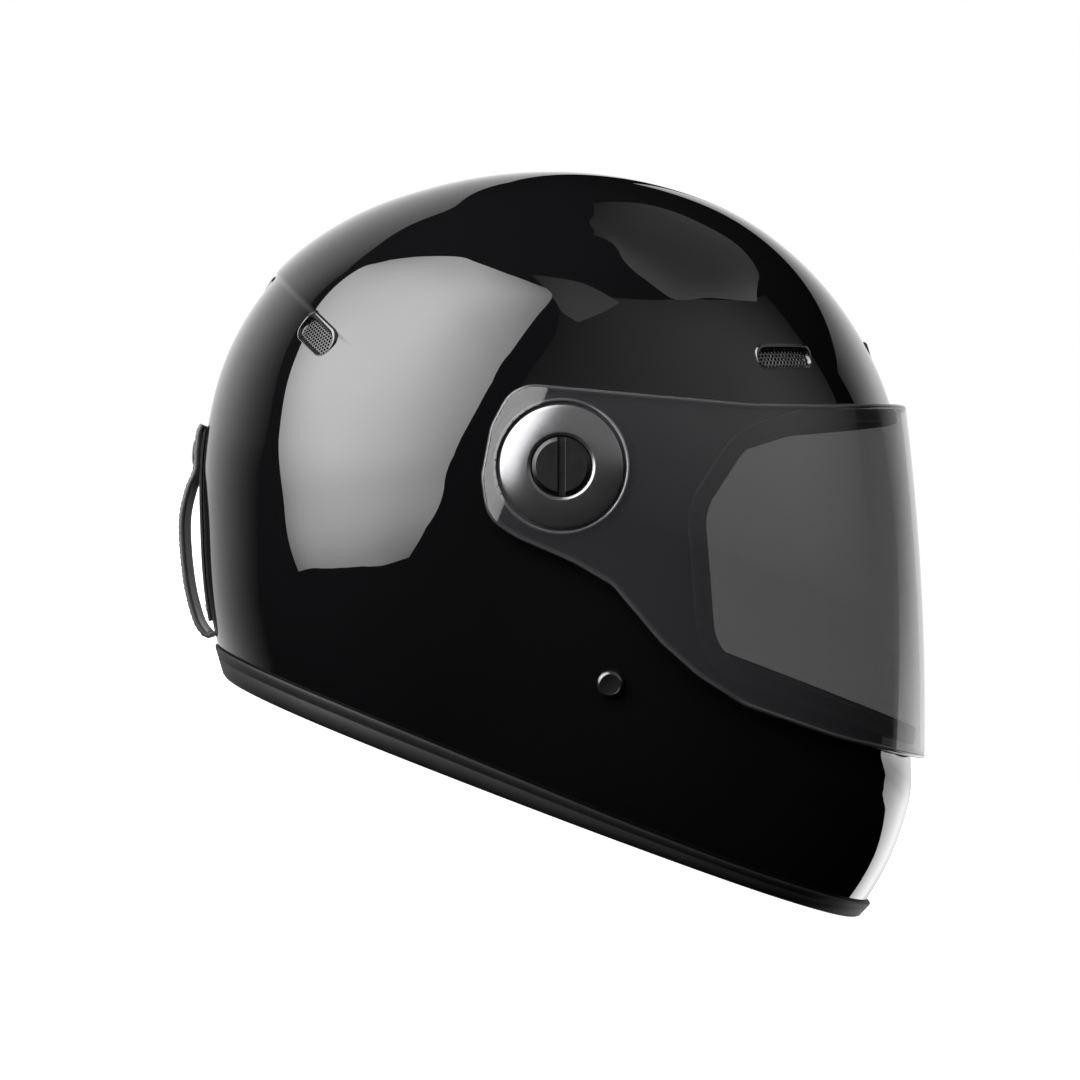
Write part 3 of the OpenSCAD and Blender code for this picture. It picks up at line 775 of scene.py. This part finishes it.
turns = np.linspace(0, 2 * math.pi, 289)[:-1]
TRIM_FOOT = -132.4
TRIM_TOP = -121.3
FRONT_DROP = 4.0
TRIM_SECTION = [(1.5, -121.9), (1.6, -123), (1.5, -125.2), (1.15, -125.6), (1.5, -126), (1.5, -131.4),
                (0.9, -132.4), (0, -132.75), (-4, -132.75), (-5, -132.3), (-5.4, -131.4),
                (-5.4, -122.2), (-5, -121.5), (-4.2, -121.3), (0.6, -121.3), (1.2, -121.45)]
sections = np.stack([level_ring(z, o, turns) for o, z in TRIM_SECTION], 1)
drop = FRONT_DROP * ramp((sections[..., :1, 0] + 60) / 200)
share_up = np.clip((sections[..., 2] - TRIM_FOOT) / (TRIM_TOP - TRIM_FOOT), 0, 1)
sections[..., 2] -= drop * share_up
trim = swept("rim_rubber_channel", sections, True)
trim_rubber = Finish("grey_rubber", Roughness=0.6)
trim_rubber.shader.inputs["Specular IOR Level"].default_value = 0.25
trim_rubber.tones(trim_rubber.noise(160.0), (0.006, 0.006, 0.006), (0.01, 0.01, 0.01))
trim_rubber.bump(trim_rubber.noise(1100.0, 2.0), 0.00004, 0.5)
paint(trim, trim_rubber, replaced=("rim_trim",))

# ---- Vents ----
# Six moulded vents, each a gloss rim with a raised hood along its upper side, a
# sunk shelf and a perforated metal sheet under the hood.


def drape(place, xy, radius):
    """Height of the shell above a placed frame's plane, at points of that plane."""
    turn, origin = np.array(place)[:3, :3], np.array(place)[:3, 3]
    flat = np.column_stack([xy, np.zeros(len(xy))])
    height = np.zeros(len(xy))
    for _ in range(6):
        flat[:, 2] = height
        here = surface_gap(flat @ turn.T + origin, radius, HALF_WIDTH)
        flat[:, 2] = height + 0.1
        there = surface_gap(flat @ turn.T + origin, radius, HALF_WIDTH)
        height -= here * 0.1 / (there - here)
    return height


def sheet_group():
    """Geometry nodes: staggered cells, each with a hole, kept where they are inside a rounded outline."""
    tree = bpy.data.node_groups.new("perforated_sheet", "GeometryNodeTree")
    for name, kind in (("Geometry", "Geometry"), ("Cell", "Object"), ("Material", "Material"),
                       ("Pitch", "Float"), ("Length", "Float"), ("Height", "Float"),
                       ("Corner", "Float")):
        tree.interface.new_socket(name, in_out="INPUT", socket_type="NodeSocket" + kind)
    tree.interface.new_socket("Geometry", in_out="OUTPUT", socket_type="NodeSocketGeometry")
    given = tree.nodes.new("NodeGroupInput").outputs

    def put(kind, settings=None, **sockets):
        node = tree.nodes.new(kind)
        for key, value in (settings or {}).items():
            setattr(node, key, value)
        for key, value in sockets.items():
            key = int(key[1:]) if key[0] == "i" and key[1:].isdigit() else key.replace("_", " ")
            if isinstance(value, bpy.types.NodeSocket):
                tree.links.new(value, node.inputs[key])
            else:
                node.inputs[key].default_value = value
        return node.outputs

    def calc(operation, a, b=0.0):
        return put("ShaderNodeMath", {"operation": operation}, i0=a, i1=b)[0]

    columns = calc("CEIL", calc("DIVIDE", given["Length"], given["Pitch"]))
    row_gap = calc("MULTIPLY", given["Pitch"], math.sqrt(0.75))
    rows = calc("CEIL", calc("DIVIDE", given["Height"], row_gap))
    count = put("FunctionNodeFloatToInt", Float=calc("MULTIPLY", columns, rows))[0]
    number = put("GeometryNodeInputIndex")[0]
    column = calc("MODULO", number, columns)
    row = calc("FLOOR", calc("DIVIDE", calc("ADD", number, 0.5), columns))
    shift = calc("MULTIPLY", calc("MODULO", row, 2.0), 0.5)
    x = calc("SUBTRACT", calc("ADD", column, shift), calc("MULTIPLY", calc("SUBTRACT", columns, 0.5), 0.5))
    y = calc("SUBTRACT", row, calc("MULTIPLY", calc("SUBTRACT", rows, 1.0), 0.5))
    x, y = calc("MULTIPLY", x, given["Pitch"]), calc("MULTIPLY", y, row_gap)
    spot = put("ShaderNodeCombineXYZ", X=x, Y=y)[0]
    points = put("GeometryNodePoints", Count=count, Position=spot)[0]
    past = []
    for v, size in ((x, "Length"), (y, "Height")):
        beyond = calc("SUBTRACT", calc("ABSOLUTE", v), calc("MULTIPLY", given[size], 0.5))
        past.append(calc("MAXIMUM", calc("ADD", beyond, given["Corner"]), 0.0))
    gap = calc("POWER", calc("ADD", calc("POWER", past[0], 2.0), calc("POWER", past[1], 2.0)), 0.5)
    inside = calc("LESS_THAN", gap, given["Corner"])
    cell = put("GeometryNodeObjectInfo", Object=given["Cell"])["Geometry"]
    cells = put("GeometryNodeInstanceOnPoints", Points=points, Selection=inside, Instance=cell)[0]
    solid = put("GeometryNodeRealizeInstances", Geometry=cells)[0]
    welded = put("GeometryNodeMergeByDistance", Geometry=solid, Distance=0.000004)[0]
    done = put("GeometryNodeSetMaterial", Geometry=welded, Material=given["Material"])[0]
    tree.links.new(done, tree.nodes.new("NodeGroupOutput").inputs[0])
    return tree


def grow_nodes(name, group, values, base=None):
    """Runs a geometry node group and returns its result as a plain mesh object."""
    piece = new_object(name, base or bpy.data.meshes.new(name))
    modifier = piece.modifiers.new("nodes", "NODES")
    modifier.node_group = group
    for socket in group.interface.items_tree:
        if socket.in_out == "INPUT" and socket.name in values:
            modifier[socket.identifier] = values[socket.name]
    piece.update_tag()
    return bake(piece)


def holed_cell(pitch, hole, thick):
    """One hexagon of the sheet with a round hole through it, in metres."""
    ways = np.radians(np.arange(0, 360, 30))
    reach_out = np.where(np.arange(12) % 2, pitch / math.sqrt(3), pitch / 2)
    rings = [(reach_out, 0), (reach_out, thick), (np.full(12, hole / 2 + 0.08), thick),
             (np.full(12, hole / 2), thick - 0.1), (np.full(12, hole / 2), 0)]
    verts = [(r[k] * math.cos(ways[k]), r[k] * math.sin(ways[k]), z) for r, z in rings for k in range(12)]
    faces = [(j * 12 + k, j * 12 + (k + 1) % 12, (j + 1) % 5 * 12 + (k + 1) % 12, (j + 1) % 5 * 12 + k)
             for j in range(1, 5) for k in range(12)]
    mesh = bpy.data.meshes.new("holed_cell")
    mesh.from_pydata((np.array(verts) * MM).tolist(), [], faces)
    return new_object("holed_cell", mesh)


def settle(piece, place, radius, sink, shift):
    """Moves a flat piece made in metres onto the shell, bent to the shell's curve."""
    mesh = piece.data
    co = corners(mesh) / MM + (0, shift, 0)
    co[:, 2] += drape(place, co[:, :2], radius) - sink
    turn, origin = np.array(place)[:3, :3], np.array(place)[:3, 3]
    mesh.vertices.foreach_set("co", ((co @ turn.T + origin) * MM + np.array(pivot)).ravel())
    mesh.update()
    return piece


sheet_nodes = sheet_group()
vent_gloss = Finish("gloss_black_moulding", Roughness=0.14, Coat_Weight=0.4, Coat_Roughness=0.05)
vent_gloss.tones(vent_gloss.noise(60.0), (0.004, 0.004, 0.004), (0.008, 0.008, 0.008))
bright_mesh = Finish("pressed_alloy_mesh", Metallic=1.0, Roughness=0.4)
bright_mesh.tones(bright_mesh.noise(300.0), (0.035, 0.035, 0.035), (0.06, 0.06, 0.06))
dark_mesh = Finish("blackened_mesh", Metallic=1.0, Roughness=0.38)
dark_mesh.tones(dark_mesh.noise(300.0), (0.09, 0.09, 0.09), (0.17, 0.17, 0.17))
SHEETS = {"brow_vent": (1.75, 1.15, dark_mesh), "rear_vent": (1.45, 0.98, bright_mesh)}
for kind, (size, places) in VENTS.items():
    pitch, hole, metal = SHEETS[kind]
    cell = holed_cell(pitch, hole, 0.6)
    for side, place in places.items():
        outline = evenly(vent_outline(size), 0.7)
        out = (grown(outline, 1) - outline)[:, :2]
        hood = ramp((outline[:, 1] / size[1] * 2 + 0.45) / 1.1)[:, None]
        hood = hood * (0.55 + 0.45 * ramp((size[0] / 2 + 1 - np.abs(outline[:, 0])) / 4))[:, None]
        section = [(0.9 * hood + 0.1, -1.0), (0.9 * hood + 0.1, 0.02 + 0.2 * hood),
                   (0.6 * hood + 0.05, 0.1 + 0.85 * hood), (0.1 * hood, 0.15 + 1.25 * hood),
                   (-0.5 * hood - 0.1, 0.15 + 1.35 * hood), (-1.1 * hood - 0.25, 0.1 + 1.15 * hood),
                   (-1.4 * hood - 0.4, -0.05 + 0.75 * hood), (-1.45 * hood - 0.55, -0.4),
                   (-0.5 * hood - 1.6, -1.5), (0.7 * hood - 2.9, -1.9), (0.7 * hood - 3.0, -4.4),
                   (-0.2 + 0 * hood, -4.8), (-0.05 + 0 * hood, -1.5)]
        rings = []
        for push, height in section:
            flat = outline + out * push
            z = drape(place, flat, shell_radius)[:, None] + height + 0 * hood
            rings.append([list(place @ Vector(p)) for p in np.hstack([flat, z])])
        rim = swept(kind + "_rim_" + side, np.array(rings).transpose(1, 0, 2), True)
        paint(rim, vent_gloss, replaced=(kind + "_frame_" + side,))
        sheet = grow_nodes(kind + "_sheet_" + side, sheet_nodes, {
            "Cell": cell, "Material": metal.material, "Pitch": pitch * MM,
            "Length": (size[0] - 3.0) * MM, "Height": (size[1] - 2.4) * MM, "Corner": 2.2 * MM})
        settle(sheet, place, shell_radius, 2.1, 0.4)
        paint(sheet, metal, replaced=(kind + "_grille_" + side,))
    bpy.data.objects.remove(cell)

# ---- Strap rivets ----
# The heads of the rivets that carry the chin strap: bevelled black caps, each in
# a shallow dish of the cheek, with the shank and its washer inside the shell.
enamel = Finish("black_enamel", Roughness=0.2, Coat_Weight=0.5, Coat_Roughness=0.08)
enamel.tones(enamel.noise(120.0), (0.006, 0.006, 0.006), (0.012, 0.012, 0.012))
HEAD = [(0, -2.6), (5.3, -2.6), (5.3, 0), (5.2, 0.25), (4.35, 0.92), (4.1, 1.0), (3.85, 0.9), (0, 0.86)]


def joined(name, parts):
    """Several closed meshes as one piece."""
    work = bmesh.new()
    for part in parts:
        work.from_mesh(part.data)
        bpy.data.objects.remove(part)
    mesh = bpy.data.meshes.new(name)
    work.to_mesh(mesh)
    work.free()
    return new_object(name, mesh)


ANCHOR = (47.5, -71.9)
for side, place in RIVETS.items():
    lift = Matrix.Translation((0, 0, SWELL * 0.7 - 0.6))
    head = lathe("head", HEAD, place @ lift, 64)
    turn = Matrix.Translation((ANCHOR[0], 0, ANCHOR[1])) @ PIVOT_SIDE[side]
    shank = lathe("shank", [(0, 103.6), (2.2, 103.6), (2.9, 104.2), (2.9, 115.8), (0, 115.8)], turn, 32)
    washer = lathe("washer", [(2.9, 104), (4.6, 104), (4.6, 105.1), (2.9, 105.1)], turn, 32)
    rivet = bevelled(joined("strap_rivet_cap_" + side, [head, shank, washer]), 0.12, segments=2)
    paint(rivet, enamel, replaced=("strap_rivet_" + side,))

# ---- Chin strap ----
# Ribbed polyester webbing hung from pressed steel hangers, doubled and box
# stitched where it turns round them.


def band(name, path, across, wide, thick, corner=0.6):
    """A strap along a path, with rounded edges and a UV map in metres along and across it."""
    path, across = np.asarray(path, float), np.array(across, float)
    run = np.gradient(path, axis=0)
    run /= np.linalg.norm(run, axis=1)[:, None]
    up = np.cross(run, across)
    section = fillet([(-wide / 2, -thick / 2), (wide / 2, -thick / 2),
                      (wide / 2, thick / 2), (-wide / 2, thick / 2)], corner, 3)
    section = evenly(section, max(0.5, wide / 40)) if wide > 12 else section
    rings = path[:, None] + section[None, :, :1] * across + section[None, :, 1:] * up[:, None]
    piece = swept(name, rings, False)
    length = np.concatenate([[0], np.cumsum(np.linalg.norm(np.diff(path, axis=0), axis=1))])
    mesh = piece.data
    corner_of = np.empty(len(mesh.loops), int)
    mesh.loops.foreach_get("vertex_index", corner_of)
    sides = len(section)
    layer = mesh.uv_layers.new(name="weave")
    values = np.stack([length[corner_of // sides], section[corner_of % sides, 0]], 1) * MM
    layer.data.foreach_set("uv", values.ravel())
    mesh.set_sharp_from_angle(angle=math.radians(60))
    return piece


webbing = Finish("ribbed_webbing", Roughness=0.75, Sheen_Weight=0.25, Sheen_Roughness=0.5)
along, across_it, _ = webbing.split(webbing.weft)
rib = webbing.add("Math", {"operation": "SINE"}, across_it * (2 * math.pi / 0.0011))
pick_line = webbing.add("Math", {"operation": "SINE"}, along * (2 * math.pi / 0.0016) + rib * 1.4)
weave = rib * 0.5 + pick_line * 0.5
webbing.tones(weave * 0.35 + 0.5, (0.008, 0.008, 0.008), (0.03, 0.03, 0.031))
webbing.bump(weave, 0.00025, 0.8)
STRAP_RUN = [(-97.6, -96), (-96.4, -106), (-88, -116.5), (-68, -122), (-34, -125.6), (0, -127)]
strap_knots = STRAP_RUN + [(-y, z) for y, z in STRAP_RUN[-2::-1]]
strap_curve = refine(np.array(strap_knots, float), 12)
strap_path = evenly([(ANCHOR[0], y, z) for y, z in strap_curve], 1.5, closed=False)
webbing_strap = band("chin_strap_webbing", strap_path, (1, 0, 0), 22, 2.5, 0.9)
paint(webbing_strap, webbing, "chin_strap", ("chin_strap",))


def stitch_group():
    """Geometry nodes: a stitch set every spacing along a line, turned to follow it."""
    tree = bpy.data.node_groups.new("stitch_row", "GeometryNodeTree")
    for name, kind in (("Geometry", "Geometry"), ("Stitch", "Object"), ("Spacing", "Float"),
                       ("Material", "Material")):
        tree.interface.new_socket(name, in_out="INPUT", socket_type="NodeSocket" + kind)
    tree.interface.new_socket("Geometry", in_out="OUTPUT", socket_type="NodeSocketGeometry")
    given = tree.nodes.new("NodeGroupInput").outputs
    line = tree.nodes.new("GeometryNodeMeshToCurve")
    spaced = tree.nodes.new("GeometryNodeCurveToPoints")
    spaced.mode = "LENGTH"
    sewn = tree.nodes.new("GeometryNodeInstanceOnPoints")
    thread = tree.nodes.new("GeometryNodeObjectInfo")
    real = tree.nodes.new("GeometryNodeRealizeInstances")
    dye = tree.nodes.new("GeometryNodeSetMaterial")
    done = tree.nodes.new("NodeGroupOutput")
    for source, target in (
            (given["Geometry"], line.inputs[0]), (line.outputs[0], spaced.inputs["Curve"]),
            (given["Spacing"], spaced.inputs["Length"]), (spaced.outputs["Points"], sewn.inputs["Points"]),
            (spaced.outputs["Rotation"], sewn.inputs["Rotation"]), (given["Stitch"], thread.inputs[0]),
            (thread.outputs["Geometry"], sewn.inputs["Instance"]), (sewn.outputs[0], real.inputs[0]),
            (real.outputs[0], dye.inputs[0]), (given["Material"], dye.inputs["Material"]),
            (dye.outputs[0], done.inputs[0])):
        tree.links.new(source, target)
    return tree


def stitch(length, thick):
    """One stitch of thread along z, in metres."""
    rows = [(0, -0.5), (0.7, -0.46), (1, -0.3), (1, 0.3), (0.7, 0.46), (0, 0.5)]
    ways = np.arange(0, 360, 60)
    verts = [(thick / 2 * r * math.cos(math.radians(w)), thick / 2 * r * math.sin(math.radians(w)),
              h * length) for r, h in rows for w in ways]
    faces = [(j * 6 + k, j * 6 + (k + 1) % 6, (j + 1) * 6 + (k + 1) % 6, (j + 1) * 6 + k)
             for j in range(len(rows) - 1) for k in range(6)]
    mesh = bpy.data.meshes.new("stitch")
    mesh.from_pydata((np.array(verts) * MM).tolist(), [], faces)
    return outward(new_object("stitch", mesh))


stitch_nodes = stitch_group()
thread_black = Finish("waxed_thread", Roughness=0.6)
thread_black.tones(thread_black.noise(2500.0), (0.02, 0.02, 0.02), (0.045, 0.045, 0.045))


def sew(name, lines, length, thick, body, thread=thread_black):
    """A row of stitches along each line, as one piece."""
    verts, edges = [], []
    for line in lines:
        start = len(verts)
        verts += [(np.array(p) * MM + np.array(pivot)).tolist() for p in line]
        edges += [(start + k, start + k + 1) for k in range(len(line) - 1)]
    base = bpy.data.meshes.new(name)
    base.from_pydata(verts, edges, [])
    one = stitch(length * 0.78, thick)
    piece = grow_nodes(name, stitch_nodes, {"Stitch": one, "Spacing": length * MM,
                                            "Material": thread.material}, base)
    bpy.data.objects.remove(one)
    return paint(piece, thread, body)


def on_band(path, across, sideways, above):
    """A line that follows a strap, sideways of its middle and above it. Above is
    towards the shell on the goggle strap."""
    path = np.asarray(path, float)
    run = np.gradient(path, axis=0)
    run /= np.linalg.norm(run, axis=1)[:, None]
    return path + np.array(across) * sideways + np.cross(run, np.array(across)) * above


box_rows = []
for part in (slice(2, 16), slice(len(strap_path) - 16, len(strap_path) - 2)):
    for face in (-1.32, 1.32):
        edge = [on_band(strap_path[part], (1, 0, 0), s, face) for s in (-8, 8)]
        box_rows += edge + [[edge[0][0], edge[1][0]], [edge[0][-1], edge[1][-1]],
                            [edge[0][0], edge[1][-1]], [edge[0][-1], edge[1][0]]]
sew("chin_strap_box_stitches", box_rows, 2.2, 0.5, "chin_strap")
steel = Finish("zinc_plated_steel", Metallic=1.0, Roughness=0.3)
steel.tones(steel.noise(90.0), (0.42, 0.42, 0.42), (0.6, 0.6, 0.6))
steel.bump(steel.noise(700.0, 2.0), 0.00002, 0.3)
for side, sign in (("right", -1), ("left", 1)):
    knots = [(107.3, -62), (107.3, -72), (107.3, -79.5), (104.4, -88), (99.5, -104)]
    path = [(ANCHOR[0], sign * y, z) for y, z in knots]
    hanger = band("strap_hanger_plate_" + side, evenly(refine(np.array(path, float), 6), 1.5, False),
                  (1, 0, 0), 18, 2.0, 0.8)
    hole = lathe("hole", [(0, 90), (2.95, 90), (2.95, 120), (0, 120)],
                 Matrix.Translation((ANCHOR[0], 0, ANCHOR[1])) @ PIVOT_SIDE[side], 40)
    carve(hanger, [hole])
    hanger.data.set_sharp_from_angle(angle=math.radians(40))
    paint(hanger, steel, "chin_strap", ("strap_hanger_" + side,))

# ---- D-rings ----
# Two bent steel wire loops that the free end of the strap is threaded through.
loops = []
for k in (0, 1):
    loop = fillet([(-12.9, -2.9), (12.9, -2.9), (12.9, 2.9), (-12.9, 2.9)], 2.6, 6)
    path = [(ANCHOR[0] + x, -42 - 6 * k, -124.95 + 0.53 * k + z) for x, z in evenly(loop, 1.2)]
    loops.append(tube("loop", path, 1.25, sides=12, lean=(0, 1, 0)))
paint(joined("wire_d_rings", loops), steel, "chin_strap", ("d_rings",))

# ---- Goggle strap ----
# A stitched leather strap down the back: it snaps to a stud at the top, stands
# clear of the shell and folds back to its base strip just above the trim.


def behind(a, off):
    r = profile(a) + off
    return (r * math.cos(math.radians(a)), 0.0, r * math.sin(math.radians(a)))


leather = Finish("black_leather", Roughness=0.5, Sheen_Weight=0.1)
grain = leather.add("TexVoronoi", {"feature": "F1"}, leather.place, Scale=900.0)
leather.tones(leather.noise(130.0), (0.012, 0.012, 0.012), (0.03, 0.03, 0.03))
leather.bump(grain, 0.00012, 0.6)
suede = Finish("grey_suede", Roughness=0.9, Sheen_Weight=0.6, Sheen_Roughness=0.4)
suede.tones(suede.noise(700.0), (0.07, 0.07, 0.07), (0.12, 0.12, 0.12))
suede.bump(suede.noise(1800.0, 2.0), 0.0001, 0.6)
GOGGLE_RUN = [(193.2, 2.0), (194.5, 2.9), (197.5, 2.9), (200.5, 3), (203.5, 6.3), (208.5, 9.2),
              (216.5, 8.8), (222.3, 7), (224.9, 4.6), (225.8, 2.2)]
strap_line = evenly(refine(np.array([behind(a, off) for a, off in GOGGLE_RUN]), 10), 1.0, False)
outer_face = band("goggle_strap_leather", strap_line, (0, 1, 0), 30, 2.3, 0.8)
paint(outer_face, leather, "goggle_strap", ("goggle_strap",))
lining_line = on_band(strap_line, (0, 1, 0), 0, 1.12)[3:-2]
lining = band("goggle_strap_lining", lining_line, (0, 1, 0), 27.6, 0.5, 0.2)
paint(lining, suede, "goggle_strap")
rows = [on_band(strap_line, (0, 1, 0), y, -1.17)[3:-3] for y in (-12.8, 12.8)]
sew("goggle_strap_stitches", rows, 2.6, 0.55, "goggle_strap")
base_line = evenly([behind(a, 0.75) for a in np.arange(193.8, 224.4, 1)], 1.0, False)
base_strip = band("goggle_strap_backing", base_line, (0, 1, 0), 28, 1.1, 0.4)
paint(base_strip, leather, replaced=("goggle_strap_base",))
snap_turn = Matrix.Translation(behind(197.6, 0)) @ Matrix.Rotation(math.radians(90 - 197.6), 4, "Y")
cap = lathe("snap_button", [(0, 3.9), (6.0, 3.9), (6.25, 4.2), (6.25, 4.7), (5.9, 5.2), (4.9, 5.75),
                            (2.5, 6.0), (0, 6.05)], snap_turn)
paint(cap, enamel, "goggle_strap", ("snap_cap",))
stud = lathe("snap_post", [(0, -4.2), (3, -4.2), (3, 0.9), (2.6, 1.4), (0, 1.4)], snap_turn, 40)
paint(stud, steel, replaced=("snap_stud",))
foot_rivets = []
for y in (-8, 8):
    spot = Vector(behind(222, 0)) + Vector((0, y, 0))
    turn = Matrix.Translation(spot) @ Matrix.Rotation(math.radians(90 - 222), 4, "Y")
    foot_rivets.append(lathe("foot", [(0, -4), (2, -4), (2, 1.2), (2.6, 1.35), (2.2, 1.8), (1.2, 2.0),
                                      (0, 2.05)], turn, 32))
paint(joined("strap_foot_rivets", foot_rivets), steel, replaced=("goggle_strap_rivet",))

# ---- Cheek pads ----
# Foam pads covered in knitted spacer mesh, puffed by a cloth simulation, with a
# sewn border, one sewn channel and piping round the edge.


def puffed(name, node, seams, voxel, pressure, shrink, cap):
    """A padded piece grown from a CAD solid, then sunk along its seams."""
    piece = new_object(name, frame["nodes"][node].data.copy())
    remesh = piece.modifiers.new("remesh", "REMESH")
    remesh.mode = "VOXEL"
    remesh.voxel_size = voxel * MM
    start = bake(piece).data
    rest = corners(start) - corners(start, "normal") * shrink * MM
    start.vertices.foreach_set("co", rest.ravel())
    start.update()
    end = rest
    cloth = piece.modifiers.new("fill", "CLOTH")
    cloth.settings.use_pressure = True
    cloth.settings.uniform_pressure_force = pressure
    cloth.settings.effector_weights.gravity = 0
    cloth.settings.quality = 5
    for step in range(1, 21):
        bpy.context.scene.frame_set(step)
    end = corners(piece.evaluated_get(bpy.context.evaluated_depsgraph_get()).data)
    bpy.context.scene.frame_set(1)
    piece.modifiers.clear()
    move = end - rest
    size = np.linalg.norm(move, axis=1)[:, None]
    end = rest + move * np.minimum(1, cap * MM / np.maximum(size, 1e-9))
    start.vertices.foreach_set("co", end.ravel())
    start.update()
    finer = piece.modifiers.new("finer", "SUBSURF")
    finer.levels = finer.render_levels = 1
    done = bake(piece).data
    co, out = corners(done), corners(done, "normal")
    sunk = seams((co - np.array(pivot)) / MM, out)
    done.vertices.foreach_set("co", (co - out * sunk[:, None] * MM).ravel())
    done.polygons.foreach_set("use_smooth", [True] * len(done.polygons))
    done.update()
    return piece


def dip(distance, depth, wide):
    return depth * np.exp(-(distance / wide) ** 2)


spacer = Finish("knitted_spacer_mesh", Roughness=0.85, Sheen_Weight=0.4, Sheen_Roughness=0.45)
knit = spacer.add("TexVoronoi", {"feature": "F1"}, spacer.place, Scale=620.0, Randomness=0.35)
spacer.tones(knit * 1.1 + spacer.noise(60.0) * 0.2, (0.009, 0.009, 0.01), (0.045, 0.045, 0.048))
spacer.bump(knit, 0.0005, 0.7)
piping_black = Finish("piping_cord", Roughness=0.5, Sheen_Weight=0.2)
piping_black.tones(piping_black.noise(1500.0), (0.02, 0.02, 0.02), (0.05, 0.05, 0.05))


def cheek_seams(p, out):
    inner = out[:, 1] * np.sign(p[:, 1]) < -0.3
    border = np.abs(np.hypot((p[:, 0] - 26) / 1.25, p[:, 2] + 70) - 24)
    channel = np.abs(p[:, 0] - 24 + (p[:, 2] + 70) * 0.25)
    inside = np.hypot((p[:, 0] - 26) / 1.25, p[:, 2] + 70) < 24
    return inner * np.maximum(dip(border, 1.8, 2.2), dip(channel, 1.5, 2.0) * inside)


def edge_loop(piece, middle, level, count=90):
    """The outline of a piece in a plane of constant y, found by rays from its middle."""
    work = bmesh.new()
    work.from_mesh(piece.data)
    tree = BVHTree.FromBMesh(work)
    work.free()
    found = []
    for t in np.linspace(0, 2 * math.pi, count + 1)[:-1]:
        origin = Vector((middle[0], level, middle[1])) * MM + pivot
        way = Vector((math.cos(t), 0, math.sin(t)))
        hit = tree.ray_cast(origin + way * 0.2, -way)[0]
        if hit is not None:
            found.append((hit - pivot) / MM)
    return evenly(np.array(found), 2.0)


for side, sign in (("right", -1), ("left", 1)):
    pad = puffed("cheek_cushion_" + side, "cheek_pad_" + side, cheek_seams,
                 voxel=5, pressure=4, shrink=2.4, cap=3.0)
    paint(pad, spacer, replaced=("cheek_pad_" + side,))
    loop = edge_loop(pad, (26, -72), sign * 67)
    cord_round = tube("cheek_piping_" + side, loop, 1.0, sides=8, lean=(0, 1, 0))
    paint(cord_round, piping_black)

# ---- Neck roll ----
# A soft roll round the back of the opening, covered in smooth fabric and sewn
# into short sections.
brushed = Finish("brushed_fabric", Roughness=0.9, Sheen_Weight=0.5, Sheen_Roughness=0.4)
brushed.tones(brushed.noise(420.0, 4.0), (0.010, 0.010, 0.011), (0.032, 0.032, 0.034))
brushed.bump(brushed.noise(2200.0, 2.0), 0.00018, 0.6)


def roll_seams(p, out):
    turn = np.degrees(np.arctan2(p[:, 1], -(p[:, 0] - 25)))
    return dip((turn + 180) % 24 - 12, 1.6, 1.3) + dip(np.abs(p[:, 2] + 113.5), 0.8, 1.6)


roll = puffed("neck_cushion", "neck_roll", roll_seams, voxel=4.5, pressure=4, shrink=1.6, cap=2.2)
paint(roll, brushed, replaced=("neck_roll",))

# ---- Comfort liner ----
# A removable quilted cap of knitted mesh over thin foam, sewn in long panels, with
# a bound lower edge.


def quilt_radius(a, b):
    panel = np.abs((np.asarray(b) + 90) % 30 - 15)
    cross = np.abs((np.asarray(a) + 7) % 44 - 22)
    return profile(a) - 42.6 + dip(15 - panel, 1.6, 1.8) + dip(22 - cross, 1.2, 2.0)


liner = dome("quilted_comfort_liner", plain_radius(36.6), HALF_WIDTH - 36.6, np.arange(0, 360, 3), 90)
keep = [(-250, -34), (250, -34), (250, 250), (-250, 250)]
carve(liner, [prism("crown_half", keep, -250, 250)], "INTERSECT")
hollow = dome("hollow", quilt_radius, HALF_WIDTH - 42.8, np.arange(0, 360, 2), 132)
carve(liner, [hollow, prism("face", grown(EYEPORT, 12), -250, 250)])
liner.data.set_sharp_from_angle(angle=math.radians(50))
liner.data.polygons.foreach_set("use_smooth", [True] * len(liner.data.polygons))
paint(liner, spacer, replaced=("crown_liner",))
face_line = lift_outline(grown(EYEPORT, 12), plain_radius(39.8), HALF_WIDTH - 39.8)
face_line = face_line[face_line[:, 2] > -33]
breaks = np.linalg.norm(np.diff(face_line, axis=0, append=face_line[:1]), axis=1)
face_line = np.roll(face_line, -(int(np.argmax(breaks)) + 1), 0)
binding = tube("liner_face_binding", face_line, 3.4, closed=False, sides=10)
paint(binding, piping_black)

# ---- Impact foam ----
# Moulded black polystyrene foam, whose fused beads show as a fine cell pattern.
foam = Finish("black_bead_foam", Roughness=0.8)
beads = foam.add("TexVoronoi", {"feature": "DISTANCE_TO_EDGE"}, foam.place, Scale=330.0)
foam.tones(beads * 2.5, (0.012, 0.012, 0.012), (0.045, 0.045, 0.046))
foam.bump(beads, 0.0004, 0.6)
for node in ("impact_liner", "chin_liner"):
    core = frame["nodes"][node]
    core.data.materials.clear()
    core.data.materials.append(foam.material)
